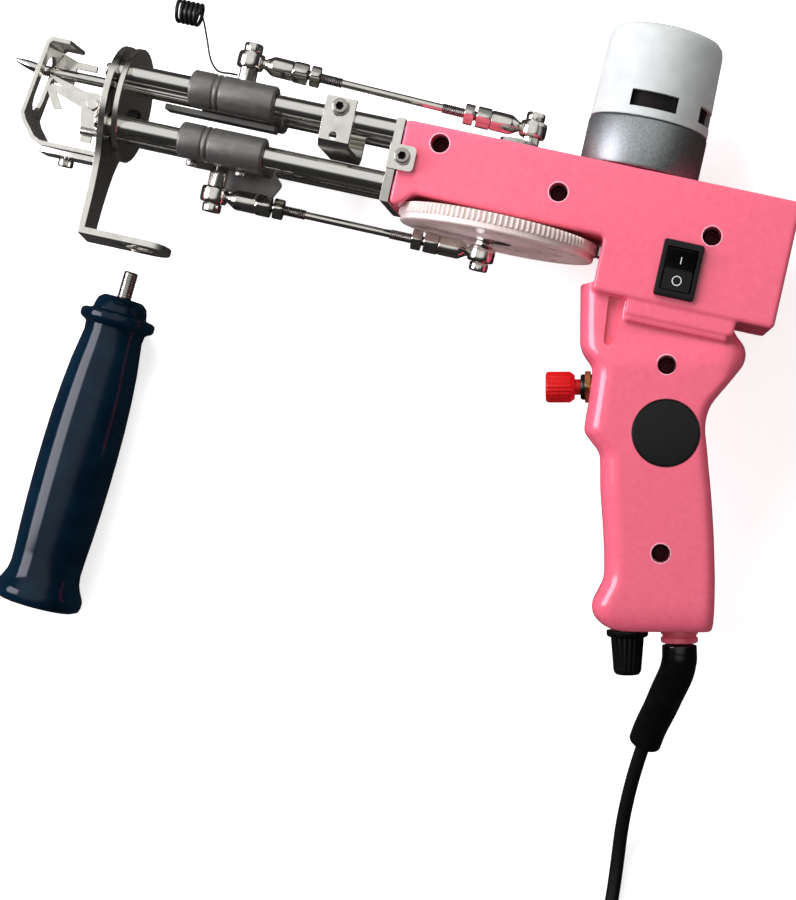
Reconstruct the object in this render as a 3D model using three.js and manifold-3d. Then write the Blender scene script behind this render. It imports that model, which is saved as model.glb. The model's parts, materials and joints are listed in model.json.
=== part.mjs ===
// Handheld tufting machine, lying on its side, with its side handle unscrewed and laid beside it.
// Millimetres. X runs along the barrel with the needle towards -X, Y points to the motor, Z is up.
// Inside the machine's own group, X = 0 is the drive gear's axis, Y = 0 the barrel's centre line
// and Z = 0 the plane where the two halves of the housing meet.
import * as THREE from "three";
import { mergeVertices } from "three/addons/utils/BufferGeometryUtils.js";
import Module from "manifold-3d";

const wasm = await Module();
wasm.setup();

// Sizes

// Place of the machine's own frame in the part's frame
const GEAR_AXIS_X = 42.92;
const BARREL_AXIS_Y = 64.51;

// Gaps and small common sizes
const FIT_GAP = 0.3;
const RUNNING_GAP = 0.15;
const WELD = 0.0001;
const OVERRUN = 2;
const FINE = 28;
const MEDIUM = 14;
const SMALL = 10;
const HEX = 6;

// Housing: barrel, rear block and grip
const HOUSING_THICKNESS = 44;
const HOUSING_FRONT_X = -40.4;
const HOUSING_REAR_X = 108.3;
const HOUSING_TOP_Y = 13.6;
const BELLY_Y = -14.2;
const BLOCK_FRONT_X = 40.4;
const BLOCK_BOTTOM_Y = -33.8;
const LUG_BOTTOM_Y = -21.6;
const LUG_REAR_X = -35;
const LUG_TAPER_X = -29;
const HOUSING_CORNER = 2.6;
const HOUSING_BEVEL = 1;
const GRIP_TOP_X = 70;
const GRIP_TOP_Y = -30;
const GRIP_TILT = THREE.MathUtils.degToRad(12.6);
const GRIP_LENGTH = 125;
const GRIP_WIDTH = 50;
const GRIP_THICKNESS = 40;
// Down the grip, its front edge, its back edge and half its thickness, as shares of
// the grip's length, width, width and thickness
const gripShares = [
  [-0.05, -0.684, 0.48, 0.48],
  [0.05, -0.692, 0.5, 0.5],
  [0.096, -0.688, 0.55, 0.5],
  [0.128, -0.678, 0.586, 0.5],
  [0.184, -0.632, 0.548, 0.5],
  [0.24, -0.602, 0.448, 0.49],
  [0.304, -0.59, 0.332, 0.48],
  [0.368, -0.578, 0.284, 0.475],
  [0.464, -0.538, 0.266, 0.47],
  [0.56, -0.49, 0.278, 0.465],
  [0.656, -0.454, 0.3, 0.465],
  [0.72, -0.466, 0.314, 0.465],
  [0.8, -0.512, 0.326, 0.47],
  [0.872, -0.58, 0.336, 0.475],
  [0.92, -0.588, 0.338, 0.47],
  [0.964, -0.56, 0.322, 0.45],
  [1, -0.46, 0.25, 0.38],
];
const GRIP_SIDES = 24;
const GRIP_SQUARENESS = 0.62;

// Shell screws, with their counterbores in the near half
const SCREW_HEAD_RADIUS = 3.1;
const SCREW_HEAD_HEIGHT = 2.4;
const SCREW_SHANK_RADIUS = 1.4;
const SCREW_SHANK_LENGTH = 16;
const COUNTERBORE_RADIUS = 3.5;
const COUNTERBORE_DEPTH = 7;
const SHELL_SCREW_FRONT_X = -26.3;
const SHELL_SCREW_FRONT_Y = 7.2;
const SHELL_SCREW_MIDDLE_X = 20.5;
const SHELL_SCREW_MIDDLE_Y = -1.3;
const SHELL_SCREW_REAR_X = 79;
const SHELL_SCREW_REAR_Y = -5.4;
const SHELL_SCREW_GRIP_X = 73.2;
const SHELL_SCREW_GRIP_Y = -54.7;
const SHELL_SCREW_BUTT_RISE = 30.7;
const SHELL_SCREW_BUTT_ACROSS = -4.5;

// Front plate and its folded tab
const PLATE_THICKNESS = 3.2;
const PLATE_BOTTOM_Y = -18;
const TAB_REAR_X = -33.8;
const TAB_LOW_Y = -5.8;
const TAB_HIGH_Y = 3.6;
const TAB_THICKNESS = 2;
const TAB_SCREW_X = -38.4;
const TAB_SCREW_Y = -0.8;
const CAP_HEAD_RADIUS = 3;
const CAP_HEAD_HEIGHT = 3;
const CAP_SHANK_RADIUS = 1.5;
const CAP_SOCKET_RADIUS = 1.5;
const CAP_SOCKET_DEPTH = 1.6;

// Guide rods and nose
const ROD_RADIUS = 4;
const ROD_OFFSET_Y = 10;
const ROD_OFFSET_Z = 12.5;
const ROD_REAR_DEPTH = 9;
const NOSE_RADIUS = 22;
const NOSE_FRONT_X = -155.2;
const NOSE_PLATE_THICKNESS = 2.4;
const NOSE_PLATE_SPACE = 2.6;
const ARM_DROP = 54.4;
const ARM_HALF_WIDTH = 7.8;
const ARM_ROLL = THREE.MathUtils.degToRad(-8);
// Down the arm: depth as a share of its drop, half width as a share of its half width at the tab
const armShares = [
  [0.2, 2.35],
  [0.3, 2.08],
  [0.38, 1.7],
  [0.47, 1.42],
  [0.58, 1.22],
  [0.72, 1.08],
  [0.86, 1.02],
  [1, 1],
];
const TAB_LENGTH = 35;
const HANDLE_HOLE_RADIUS = 3.2;
const HANDLE_HOLE_END = 10;
const BUMPER_RADIUS = 2.8;
const BUMPER_LENGTH = 4.6;
const BUMPER_Y = -4;

// Presser foot
const FOOT_WIDTH = 20;
const FOOT_THICKNESS = 1.6;
const FOOT_TOP_X = -183.6;
const FOOT_TOP_Y = 17.6;
const FOOT_HEEL_X = -187.8;
const FOOT_HEEL_Y = -12.3;
const FOOT_SOLE_X = -179;
const FOOT_SOLE_Y = -22.1;
const FOOT_FLANGE = 8.5;
const FOOT_FLANGE_DROP = 1.4;
const FOOT_SLOT_WIDTH = 11;
const FOOT_SLOT_LOW = -10;
const FOOT_SLOT_HIGH = 12.5;
const FOOT_FINGER_LENGTH = 15;
const FOOT_FINGER_HEIGHT = 2.6;
const FOOT_FINGER_Y = 11;
const FOOT_WING_DEPTH = 7;
const FOOT_LUG_THICKNESS = 1.9;
const FOOT_LUG_WIDTH = 15;
const FOOT_LUG_FRONT = 25;
const FOOT_SCREW_X = -170;

// Bracket round the upper guide rods
const BRACKET_FRONT_X = -72;
const BRACKET_REAR_X = -60.4;
const BRACKET_THICKNESS = 2;
const BRACKET_TOP_Y = 17;
const BRACKET_BOTTOM_Y = -1.2;
const BRACKET_BEND = 2;
const BRACKET_SCREW_X = -66;
const BRACKET_SCREW_Y = 13.2;
const BRACKET_HOLE_X = -66.7;
const BRACKET_HOLE_Y = 2.2;

// Motor
const MOTOR_X = 47.2;
const CAN_RADIUS = 22.7;
const CAN_HEIGHT = 20.6;
const CAN_EDGE = 1;
const CORE_RADIUS = 17.8;
const CORE_HEIGHT = 29;
const CAP_HEIGHT = 36.5;
const CAP_BOTTOM_RADIUS = 22.4;
const CAP_TOP_RADIUS = 21.6;
const CAP_WALL = 1.8;
const CAP_ROUND = 3.6;
const WINDOW_WIDTH = 17.4;
const WINDOW_HEIGHT = 6.7;
const WINDOW_RISE = 3;
const SIDE_WINDOW_ANGLE = THREE.MathUtils.degToRad(58);
const MOTOR_SHAFT_RADIUS = 2.5;
const MOTOR_SHAFT_POCKET = 4;

// Drive gear, pinion and crank
const GEAR_TEETH = 117;
const PINION_TEETH = 28;
const TOOTH_MODULE = 0.65;
const TOOTH_HEIGHT = 1.05;
const TOOTH_ROOT_SHARE = 0.36;
const GEAR_TOP_Y = -15.6;
const GEAR_THICKNESS = 6.4;
const GEAR_BAND = 2.5;
const GEAR_BORE_RADIUS = 6.2;
const GEAR_RIB = 1.6;
const GEAR_RECESS = 3.4;
const GEAR_RIM = 5;
const GEAR_HUB = 11;
const GEAR_SPOKES = 6;
const SHAFT_RADIUS = 4;
const BEARING_RADIUS = 9.5;
const BEARING_HEIGHT = 5;
const CRANK_THICKNESS = 3.2;
const CRANK_HUB_RADIUS = 7;
const CRANK_EYE_RADIUS = 5;
const NEEDLE_CRANK = 12;
const NEEDLE_CRANK_ANGLE = THREE.MathUtils.degToRad(162);
const CUTTER_CRANK = 8;
const CUTTER_CRANK_ANGLE = THREE.MathUtils.degToRad(218.7);

// Slider blocks on the guide rods
const SLIDER_FRONT_X = -124.4;
const SLIDER_LENGTH = 33;
const BARREL_RADIUS = 6.8;
const BARREL_CHAMFER = 0.6;
const GROOVE_WIDTH = 0.9;
const GROOVE_DEPTH = 0.5;
const GROOVE_PLACE = 9;
const GROOVE_SPACE = 2.2;
const WEB_LOW = 3.6;
const WEB_HIGH = 15.6;
const WEB_INSET = 3;
const WING_FRONT_X = -116;
const WING_REAR_X = -87;
const WING_BOTTOM_Y = -23.5;
const WING_THICKNESS = 2.4;
const WING_Z = -8.5;
const BAR_FRONT_X = -135.5;
const BAR_REAR_X = -92;
const BAR_LOW_Y = 1.1;
const BAR_THICKNESS = 2.2;
const BAR_WIDTH = 8;

// Needle, yarn guide
const NEEDLE_RADIUS = 2;
const NEEDLE_BORE = 1.1;
const NEEDLE_Y = 6.5;
const NEEDLE_TIP_X = -197.8;
const NEEDLE_POINT = 10;
const NEEDLE_SEAT = 12;
const WIRE_RADIUS = 0.5;
const GUIDE_COIL_RADIUS = 2.55;
const GUIDE_COIL_TURNS = 6.5;
const GUIDE_COIL_FRONT_X = -141.4;
const GUIDE_COIL_REAR_X = -130.4;
const GUIDE_COIL_Y = 41.4;
const GUIDE_LEG_X = -126.1;
const GUIDE_LEG_Y = 31.1;
const GUIDE_FOOT_X = -121.8;
const GUIDE_FOOT_Y = 20.1;
const GUIDE_STEPS_PER_TURN = 8;

// Connecting rods
const FRONT_PIN_UPPER_X = -107.4;
const FRONT_PIN_LOWER_X = -110.2;
const FRONT_EYE_UPPER_Y = 26.4;
const FRONT_EYE_LOWER_Y = -26.9;
const REAR_EYE_UPPER_Y = 24.5;
const REAR_EYE_LOWER_Y = -26.9;
const EYE_RADIUS = 5.2;
const EYE_HALF_HEIGHT = 2.9;
const EYE_BORE = 2.9;
const EYE_WAIST = 3.2;
const PIN_RADIUS = 2.3;
const PIN_HEX_RADIUS = 3.7;
const PIN_HEAD_RADIUS = 3.8;
const PIN_HEAD_HEIGHT = 3.3;
const END_NECK = 6.5;
const END_BARREL = 17;
const END_HEX = 22.4;
const END_RADIUS = 3.7;
const END_HEX_RADIUS = 4.3;
const LINK_RADIUS = 1.5;
const LINK_THREAD_RADIUS = 2;
const LINK_THREAD_END = 36;
const LINK_SEAT = 14;
const LOCK_NUT_RADIUS = 4.4;
const LOCK_NUT_LENGTH = 4.6;

// Scissors
const BLADE_THICKNESS = 1;
const FIXED_BLADE_Z = 2.5;
const BLADE_PIVOT_X = -163;
const BLADE_PIVOT_Y = -3;
const BLADE_PIVOT_RADIUS = 1.3;
const BLADE_PIVOT_HEAD = 2.2;
const BLADE_REACH = 19.3;
const BLADE_RISE = 6;
const BLADE_WIDTH = 4.4;
const BLADE_TAIL = 11;
const BLADE_TAIL_HALF = 2;
const BLADE_HOOK = 8;
const PUSH_ROD_RADIUS = 1.5;
const PUSH_ROD_Y = -14;
const PUSH_ROD_SEAT = 8;

// Rocker switch
const SWITCH_X = 69.9;
const SWITCH_Y = -20.2;
const BEZEL_WIDTH = 15;
const BEZEL_HEIGHT = 21;
const BEZEL_THICKNESS = 2;
const SWITCH_BODY_WIDTH = 13;
const SWITCH_BODY_HEIGHT = 19;
const SWITCH_BODY_DEPTH = 13;
const ROCKER_WIDTH = 10.6;
const ROCKER_HALF = 7.6;
const ROCKER_CROWN = 3.4;
const ROCKER_DIP = 1.6;
const ROCKER_KEEL = 4.5;
const ROCKER_PIVOT_DEPTH = 0.4;
const ROCKER_SWING_RADIUS = 9;
const ROCKER_TILT = THREE.MathUtils.degToRad(7);

// Push button in the grip's front edge
const BUTTON_DOWN = 39.5;
const BUTTON_FRONT = -31.6;
const BUSH_RADIUS = 5;
const BUSH_LENGTH = 15;
const BUSH_PROUD = 2.8;
const NUT_RADIUS = 6.8;
const NUT_THICKNESS = 2.2;
const BUTTON_TRAVEL = 2.2;
const BUTTON_RADIUS = 6;
const BUTTON_NECK_RADIUS = 4.8;
const BUTTON_LENGTH = 11;
const BUTTON_CHAMFER = 1.6;
const STEM_RADIUS = 3;
const STEM_LENGTH = 8;

// Speed knob in the grip's end
const KNOB_ACROSS = -16.6;
const KNOB_FLANGE_RADIUS = 7.9;
const KNOB_FLANGE_THICKNESS = 2.8;
const KNOB_LENGTH = 17.5;
const KNOB_BASE_RADIUS = 6.2;
const KNOB_TOP_RADIUS = 4.8;
const KNOB_RIBS = 14;
const KNOB_RIB_DEPTH_SHARE = 0.93;
const CONTROL_RADIUS = 8;
const CONTROL_LENGTH = 9;
const CONTROL_SEAT = 5;
const CONTROL_SHAFT_RADIUS = 3;
const CONTROL_BUSH_RADIUS = 3.6;
const KNOB_BORE_DEPTH = 9;

// Badge disc on the grip
const BADGE_X = 78.4;
const BADGE_Y = -79.3;
const BADGE_RADIUS = 12.4;
const BADGE_THICKNESS = 1.2;
const BADGE_LEVEL_SHARE = 0.465;

// Cord outlet
const COLLAR_ACROSS = 3;
const COLLAR_RADIUS = 7;
const COLLAR_DEPTH = 11;
const COLLAR_STAND = 3.8;
const COLLAR_RIB_DEPTH = 0.6;
const COLLAR_RIBS = 2;
const SLEEVE_RADIUS = 6.7;
const CORD_RADIUS = 2.7;
const SLEEVE_STEPS = 10;
const CORD_STEPS = 22;
const CORD_SIDES = 8;
// Middle line of the sleeve and of the cord's free stretch, from the middle of the collar's end
const sleeveSteps = [
  [0.13, -0.66, 0],
  [0.78, -3.56, 0],
  [1.38, -6.96, -0.4],
  [1.38, -12.96, -2.8],
  [-0.42, -22.96, -8.4],
  [-2.62, -34.96, -14.4],
  [-3.72, -42.56, -17.4],
];
const cordSteps = [
  [-3.82, -42.96, -17.55],
  [-4.32, -48.96, -19.9],
  [-4.72, -56.96, -23.2],
  [-4.82, -64.96, -26.6],
  [-4.62, -73.96, -30.2],
  [-4.02, -82.96, -33.1],
  [-3.12, -91.96, -34.9],
  [-2.32, -100.96, -35.7],
  [-1.72, -109.96, -35.8],
  [-1.42, -119.96, -35.8],
  [-1.32, -130.96, -35.8],
  [-1.42, -141.96, -35.8],
  [-1.52, -150.96, -35.8],
  [-1.52, -158.96, -35.8],
];

// Coil of the cord's unseen length, in two layers
const COIL_LEAD = 6;
const COIL_OUTER = 39;
const COIL_PITCH = 6.1;
const COIL_RISE = 6.3;
const COIL_TURNS_IN = 3.5;
const COIL_TURNS_OUT = 2.75;
const COIL_STEPS = 24;
const COIL_SIDES = 6;
const COIL_TAIL = 46;
const COIL_TAIL_LEVEL = 14;
const COIL_TAIL_DROP = 28;
const PLUG_RADIUS = 5;
const PLUG_NECK_RADIUS = 3.6;
const PLUG_NECK_LENGTH = 8;
const PLUG_LENGTH = 30;
const PLUG_TIP_RADIUS = 2.75;
const PLUG_TIP_BORE = 1.1;
const PLUG_TIP_LENGTH = 9.5;

// Side handle, lying beside the machine
const HANDLE_X = -143.3;
const HANDLE_Y = -81;
const HANDLE_TURN = THREE.MathUtils.degToRad(-3.5);
const HANDLE_LENGTH = 119;
const HANDLE_RADIUS = 17.5;
// Down the handle from its flange: place as a share of its length, radius as a share of its largest
const handleShares = [
  [-0.07, 0],
  [-0.07, 0.45],
  [-0.055, 0.57],
  [-0.018, 0.62],
  [-0.012, 0.83],
  [0, 0.857],
  [0.018, 0.85],
  [0.032, 0.68],
  [0.06, 0.67],
  [0.17, 0.77],
  [0.36, 0.855],
  [0.55, 0.868],
  [0.75, 0.835],
  [0.87, 0.8],
  [0.92, 0.88],
  [0.955, 1],
  [0.983, 0.985],
  [0.996, 0.86],
  [1, 0.5],
  [1, 0],
];
// Rows of the table where the handle touches the surface it lies on: its flange and its flare
const HANDLE_FLANGE_ROW = 5;
const HANDLE_FLARE_ROW = 15;
const HANDLE_STUD_RADIUS = 3;
const HANDLE_STUD_GROOVE = 0.7;
const HANDLE_STUD_OUT = 11;
const HANDLE_STUD_SEAT = 14;
const HANDLE_SIDES = 20;

// Heights that follow from the sizes above
const GEAR_RADIUS = (GEAR_TEETH * TOOTH_MODULE) / 2 + TOOTH_HEIGHT / 2;
const PINION_RADIUS = (PINION_TEETH * TOOTH_MODULE) / 2 + TOOTH_HEIGHT / 2;
const HALF_THICKNESS = HOUSING_THICKNESS / 2;
const NOSE_REAR_X = NOSE_FRONT_X + NOSE_PLATE_THICKNESS + NOSE_PLATE_SPACE;
const TABLE_Z = -GEAR_RADIUS;

// Helpers

// A closed mesh as a solid, with its faces turned out
function solid(geometry) {
  const bare = geometry.index ? geometry.toNonIndexed() : geometry.clone();
  bare.deleteAttribute("normal");
  bare.deleteAttribute("uv");
  const merged = mergeVertices(bare, WELD);
  const index = merged.index.array;
  const make = (flip) => {
    const corners = [];
    for (let i = 0; i < index.length; i += 3) {
      const a = index[i];
      const b = index[i + 1];
      const c = index[i + 2];
      if (a !== b && b !== c && c !== a) {
        corners.push(...(flip ? [a, c, b] : [a, b, c]));
      }
    }
    return new wasm.Manifold(
      new wasm.Mesh({
        numProp: 3,
        vertProperties: merged.attributes.position.array,
        triVerts: new Uint32Array(corners),
      }),
    );
  };
  const made = make(false);
  return made.volume() < 0 ? make(true) : made;
}

const join = (first, ...rest) => rest.reduce((all, next) => all.add(next), first);
const cut = (first, ...rest) => rest.reduce((all, next) => all.subtract(next), first);

function geometryOf(made) {
  const { vertProperties, triVerts } = made.getMesh();
  const geometry = new THREE.BufferGeometry();
  geometry.setAttribute("position", new THREE.BufferAttribute(vertProperties, 3));
  geometry.setIndex(new THREE.BufferAttribute(triVerts, 1));
  geometry.computeVertexNormals();
  return geometry;
}

// Turns of an outline's plane: drawn in XY and raised along Z, in YZ along X, in ZX along Y
const ALONG_Z = new THREE.Matrix4();
const ALONG_X = new THREE.Matrix4().makeBasis(
  new THREE.Vector3(0, 1, 0),
  new THREE.Vector3(0, 0, 1),
  new THREE.Vector3(1, 0, 0),
);
const ALONG_Y = new THREE.Matrix4().makeBasis(
  new THREE.Vector3(0, 0, 1),
  new THREE.Vector3(1, 0, 0),
  new THREE.Vector3(0, 1, 0),
);

function prism(shape, low, high, turn = ALONG_Z, rim = 0) {
  const geometry = new THREE.ExtrudeGeometry(shape, {
    depth: high - low - rim - rim,
    bevelEnabled: rim > 0,
    bevelThickness: rim,
    bevelSize: rim,
    bevelOffset: -rim,
    bevelSegments: 2,
    curveSegments: 6,
  });
  geometry.translate(0, 0, low + rim);
  geometry.applyMatrix4(turn);
  return solid(geometry);
}

const outline = (points) => new THREE.Shape(points.map(([x, y]) => new THREE.Vector2(x, y)));

// An outline with each corner rounded
function rounded(points, radius) {
  const corners = points.map(([x, y]) => new THREE.Vector2(x, y));
  const shape = new THREE.Shape();
  corners.forEach((corner, i) => {
    const before = corners[(i + corners.length - 1) % corners.length];
    const after = corners[(i + 1) % corners.length];
    const inward = before.clone().sub(corner).setLength(radius).add(corner);
    const outward = after.clone().sub(corner).setLength(radius).add(corner);
    if (i === 0) shape.moveTo(inward.x, inward.y);
    else shape.lineTo(inward.x, inward.y);
    shape.quadraticCurveTo(corner.x, corner.y, outward.x, outward.y);
  });
  shape.closePath();
  return shape;
}

const rectangle = (left, right, low, high) => [
  [left, low],
  [right, low],
  [right, high],
  [left, high],
];

function circle(radius, sides, x = 0, y = 0, start = 0) {
  const points = [];
  for (let i = 0; i < sides; i += 1) {
    const angle = start + (i / sides) * Math.PI * 2;
    points.push([x + radius * Math.cos(angle), y + radius * Math.sin(angle)]);
  }
  return outline(points);
}

// A slot with round ends, along the outline's first direction
function slot(from, to, middle, radius, sides = SMALL) {
  const points = [];
  for (let i = 0; i <= sides / 2; i += 1) {
    const angle = -Math.PI / 2 + (i / (sides / 2)) * Math.PI;
    points.push([to - radius + radius * Math.cos(angle), middle + radius * Math.sin(angle)]);
  }
  for (let i = 0; i <= sides / 2; i += 1) {
    const angle = Math.PI / 2 + (i / (sides / 2)) * Math.PI;
    points.push([from + radius + radius * Math.cos(angle), middle + radius * Math.sin(angle)]);
  }
  return outline(points);
}

// A round bar between two points. Its flats, not its corners, have the radius when it is a bore
function bar(radius, from, to, sides = MEDIUM, endRadius = radius) {
  const start = new THREE.Vector3(...from);
  const end = new THREE.Vector3(...to);
  const run = end.clone().sub(start);
  const geometry = new THREE.CylinderGeometry(endRadius, radius, run.length(), sides);
  const turn = new THREE.Quaternion().setFromUnitVectors(
    new THREE.Vector3(0, 1, 0),
    run.clone().normalize(),
  );
  geometry.applyQuaternion(turn);
  geometry.translate(...start.add(end).divideScalar(2).toArray());
  return solid(geometry);
}
const bore = (radius, from, to, sides = MEDIUM) =>
  bar(radius / Math.cos(Math.PI / sides), from, to, sides);

// A turned piece: pairs of place along the axis and radius, from the axis and back to it
function turned(profile, from, direction, sides = MEDIUM) {
  const geometry = new THREE.LatheGeometry(
    profile.map(([along, radius]) => new THREE.Vector2(radius, along)),
    sides,
  );
  const turn = new THREE.Quaternion().setFromUnitVectors(
    new THREE.Vector3(0, 1, 0),
    new THREE.Vector3(...direction).normalize(),
  );
  geometry.applyQuaternion(turn);
  geometry.translate(...from);
  return solid(geometry);
}

const box = (left, right, low, high, bottom, top) =>
  prism(outline(rectangle(left, right, low, high)), bottom, top);

// A skin over rings of points, closed by a fan at each end
function loft(rings) {
  const sides = rings[0].length;
  const points = rings.flat();
  const corners = [];
  for (let r = 0; r + 1 < rings.length; r += 1) {
    for (let i = 0; i < sides; i += 1) {
      const a = r * sides + i;
      const b = r * sides + ((i + 1) % sides);
      corners.push(a, b, b + sides, a, b + sides, a + sides);
    }
  }
  for (const [ring, flip] of [
    [0, true],
    [rings.length - 1, false],
  ]) {
    const middle = rings[ring]
      .reduce((sum, p) => sum.add(p), new THREE.Vector3())
      .divideScalar(sides);
    points.push(middle);
    const hub = points.length - 1;
    for (let i = 0; i < sides; i += 1) {
      const a = ring * sides + i;
      const b = ring * sides + ((i + 1) % sides);
      corners.push(...(flip ? [b, a, hub] : [a, b, hub]));
    }
  }
  const geometry = new THREE.BufferGeometry().setFromPoints(points);
  geometry.setIndex(corners);
  return solid(geometry);
}

// A bent strip of sheet in a plane, from its middle line
function strip(points, thickness) {
  const line = points.map(([x, y]) => new THREE.Vector2(x, y));
  const left = [];
  const right = [];
  line.forEach((p, i) => {
    const back = line[Math.max(i - 1, 0)];
    const on = line[Math.min(i + 1, line.length - 1)];
    const first = (i === 0 ? on.clone().sub(p) : p.clone().sub(back)).normalize();
    const second = (i === line.length - 1 ? p.clone().sub(back) : on.clone().sub(p)).normalize();
    const along = first.clone().add(second).normalize();
    const reach = thickness / 2 / Math.max(along.dot(first), 0.5);
    const side = new THREE.Vector2(-along.y, along.x).multiplyScalar(reach);
    left.push([p.x + side.x, p.y + side.y]);
    right.push([p.x - side.x, p.y - side.y]);
  });
  return outline([...right, ...left.reverse()]);
}

// A round tube along a line through points
function tube(points, radius, sides, steps) {
  const curve = new THREE.CatmullRomCurve3(
    points.map((p) => new THREE.Vector3(...p)),
    false,
    "centripetal",
  );
  const geometry = new THREE.ExtrudeGeometry(circle(radius, sides), {
    steps,
    extrudePath: curve,
    bevelEnabled: false,
  });
  return solid(geometry);
}

// Least gap between stretches of a wound tube, measured on its middle line
function leastGap(points, radius, apart) {
  let least = Infinity;
  for (let i = 0; i < points.length; i += 1) {
    for (let j = i + apart; j < points.length; j += 1) {
      const distance = Math.hypot(...points[i].map((value, k) => value - points[j][k]));
      least = Math.min(least, distance - radius - radius);
    }
  }
  return least;
}

const material = (color, roughness, metalness) =>
  new THREE.MeshStandardMaterial({ color, roughness, metalness });
const pinkPlastic = () => material(0xf2799b, 0.3, 0);
const palePlastic = () => material(0xe9d0cb, 0.5, 0);
const blackPlastic = () => material(0x151516, 0.4, 0);
const steel = () => material(0xc9c8c4, 0.25, 0.9);
const darkSteel = () => material(0x6d7174, 0.4, 0.8);

const machine = new THREE.Group();
machine.position.set(GEAR_AXIS_X, BARREL_AXIS_Y, GEAR_RADIUS);

function piece(name, made, look, parent = machine) {
  const mesh = new THREE.Mesh(geometryOf(made), look);
  mesh.name = name;
  parent.add(mesh);
  return mesh;
}

// A point of the grip: how far down its axis, how far across it, and its height
const gripDown = [Math.sin(GRIP_TILT), -Math.cos(GRIP_TILT), 0];
const gripAcross = [Math.cos(GRIP_TILT), Math.sin(GRIP_TILT), 0];
const gripPoint = (down, across, z = 0) => [
  GRIP_TOP_X + down * gripDown[0] + across * gripAcross[0],
  GRIP_TOP_Y + down * gripDown[1] + across * gripAcross[1],
  z,
];

// Housing

const rodPlaces = [
  ["upper_near", ROD_OFFSET_Y, ROD_OFFSET_Z],
  ["upper_far", ROD_OFFSET_Y, -ROD_OFFSET_Z],
  ["lower_near", -ROD_OFFSET_Y, ROD_OFFSET_Z],
  ["lower_far", -ROD_OFFSET_Y, -ROD_OFFSET_Z],
];
const rodRearX = HOUSING_FRONT_X + ROD_REAR_DEPTH;
const rodBores = (from, to, gap) =>
  rodPlaces.map(([, y, z]) => bore(ROD_RADIUS + gap, [from, y, z], [to, y, z], SMALL));

const barrelAndBlock = prism(
  rounded(
    [
      [HOUSING_FRONT_X, HOUSING_TOP_Y],
      [HOUSING_FRONT_X, LUG_BOTTOM_Y],
      [LUG_REAR_X, LUG_BOTTOM_Y],
      [LUG_TAPER_X, BELLY_Y],
      [BLOCK_FRONT_X, BELLY_Y],
      [BLOCK_FRONT_X, BLOCK_BOTTOM_Y],
      [HOUSING_REAR_X, BLOCK_BOTTOM_Y],
      [HOUSING_REAR_X, HOUSING_TOP_Y],
    ],
    HOUSING_CORNER,
  ),
  -HALF_THICKNESS,
  HALF_THICKNESS,
  ALONG_Z,
  HOUSING_BEVEL,
);

// The grip is a row of rounded sections across its axis
const gripRings = gripShares.map(([downShare, frontShare, backShare, halfShare]) => {
  const front = frontShare * GRIP_WIDTH;
  const back = backShare * GRIP_WIDTH;
  const half = halfShare * GRIP_THICKNESS;
  const ring = [];
  for (let i = 0; i < GRIP_SIDES; i += 1) {
    const angle = (i / GRIP_SIDES) * Math.PI * 2;
    const c = Math.cos(angle);
    const s = Math.sin(angle);
    const across = Math.sign(c) * Math.abs(c) ** GRIP_SQUARENESS;
    const up = Math.sign(s) * Math.abs(s) ** GRIP_SQUARENESS;
    const middle = (front + back) / 2;
    const reach = (back - front) / 2;
    ring.push(
      new THREE.Vector3(...gripPoint(downShare * GRIP_LENGTH, middle + across * reach, up * half)),
    );
  }
  return ring;
});
const grip = loft(gripRings);

const shellScrews = [
  ["shell_screw_front", SHELL_SCREW_FRONT_X, SHELL_SCREW_FRONT_Y],
  ["shell_screw_middle", SHELL_SCREW_MIDDLE_X, SHELL_SCREW_MIDDLE_Y],
  ["shell_screw_rear", SHELL_SCREW_REAR_X, SHELL_SCREW_REAR_Y],
  ["shell_screw_grip", SHELL_SCREW_GRIP_X, SHELL_SCREW_GRIP_Y],
  ["shell_screw_butt", ...gripPoint(GRIP_LENGTH - SHELL_SCREW_BUTT_RISE, SHELL_SCREW_BUTT_ACROSS)],
];
const screwSeatZ = HALF_THICKNESS - COUNTERBORE_DEPTH;
const gripHalf = gripShares[8][3] * GRIP_THICKNESS;
const gripScrewSeatZ = (gripHalf * screwSeatZ) / HALF_THICKNESS;
const seatOf = (y) => (y < BLOCK_BOTTOM_Y ? gripScrewSeatZ : screwSeatZ);

const headTop = HOUSING_TOP_Y + FIT_GAP;
const gearBottomY = GEAR_TOP_Y - GEAR_THICKNESS;
const pinionPocket = bore(
  PINION_RADIUS + FIT_GAP * 3,
  [MOTOR_X, gearBottomY - FIT_GAP * 2, 0],
  [MOTOR_X, GEAR_TOP_Y + FIT_GAP * 2, 0],
);
const gearPocket = bore(
  GEAR_RADIUS + FIT_GAP * 3,
  [0, gearBottomY - FIT_GAP * 2, 0],
  [0, GEAR_TOP_Y + FIT_GAP * 2, 0],
  FINE + SMALL,
);
const switchTop = HALF_THICKNESS + FIT_GAP;
const buttonPlace = (out, z = 0) => gripPoint(BUTTON_DOWN, BUTTON_FRONT - out, z);
const knobPlace = (down, z = 0) => gripPoint(GRIP_LENGTH + down, KNOB_ACROSS, z);
const badgeLevel = BADGE_LEVEL_SHARE * GRIP_THICKNESS;
const collarStart = GRIP_LENGTH - COLLAR_DEPTH;
const collarEnd = GRIP_LENGTH + COLLAR_STAND;
const collarPlace = (down) => gripPoint(down, COLLAR_ACROSS);
const outlet = collarPlace(collarEnd);
const fromOutlet = ([x, y, z]) => [outlet[0] + x, outlet[1] + y, z];
const sleeveRoute = sleeveSteps.map(fromOutlet);
const cordRoute = cordSteps.map(fromOutlet);
const controlTop = -CONTROL_SEAT - CONTROL_LENGTH;

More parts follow.
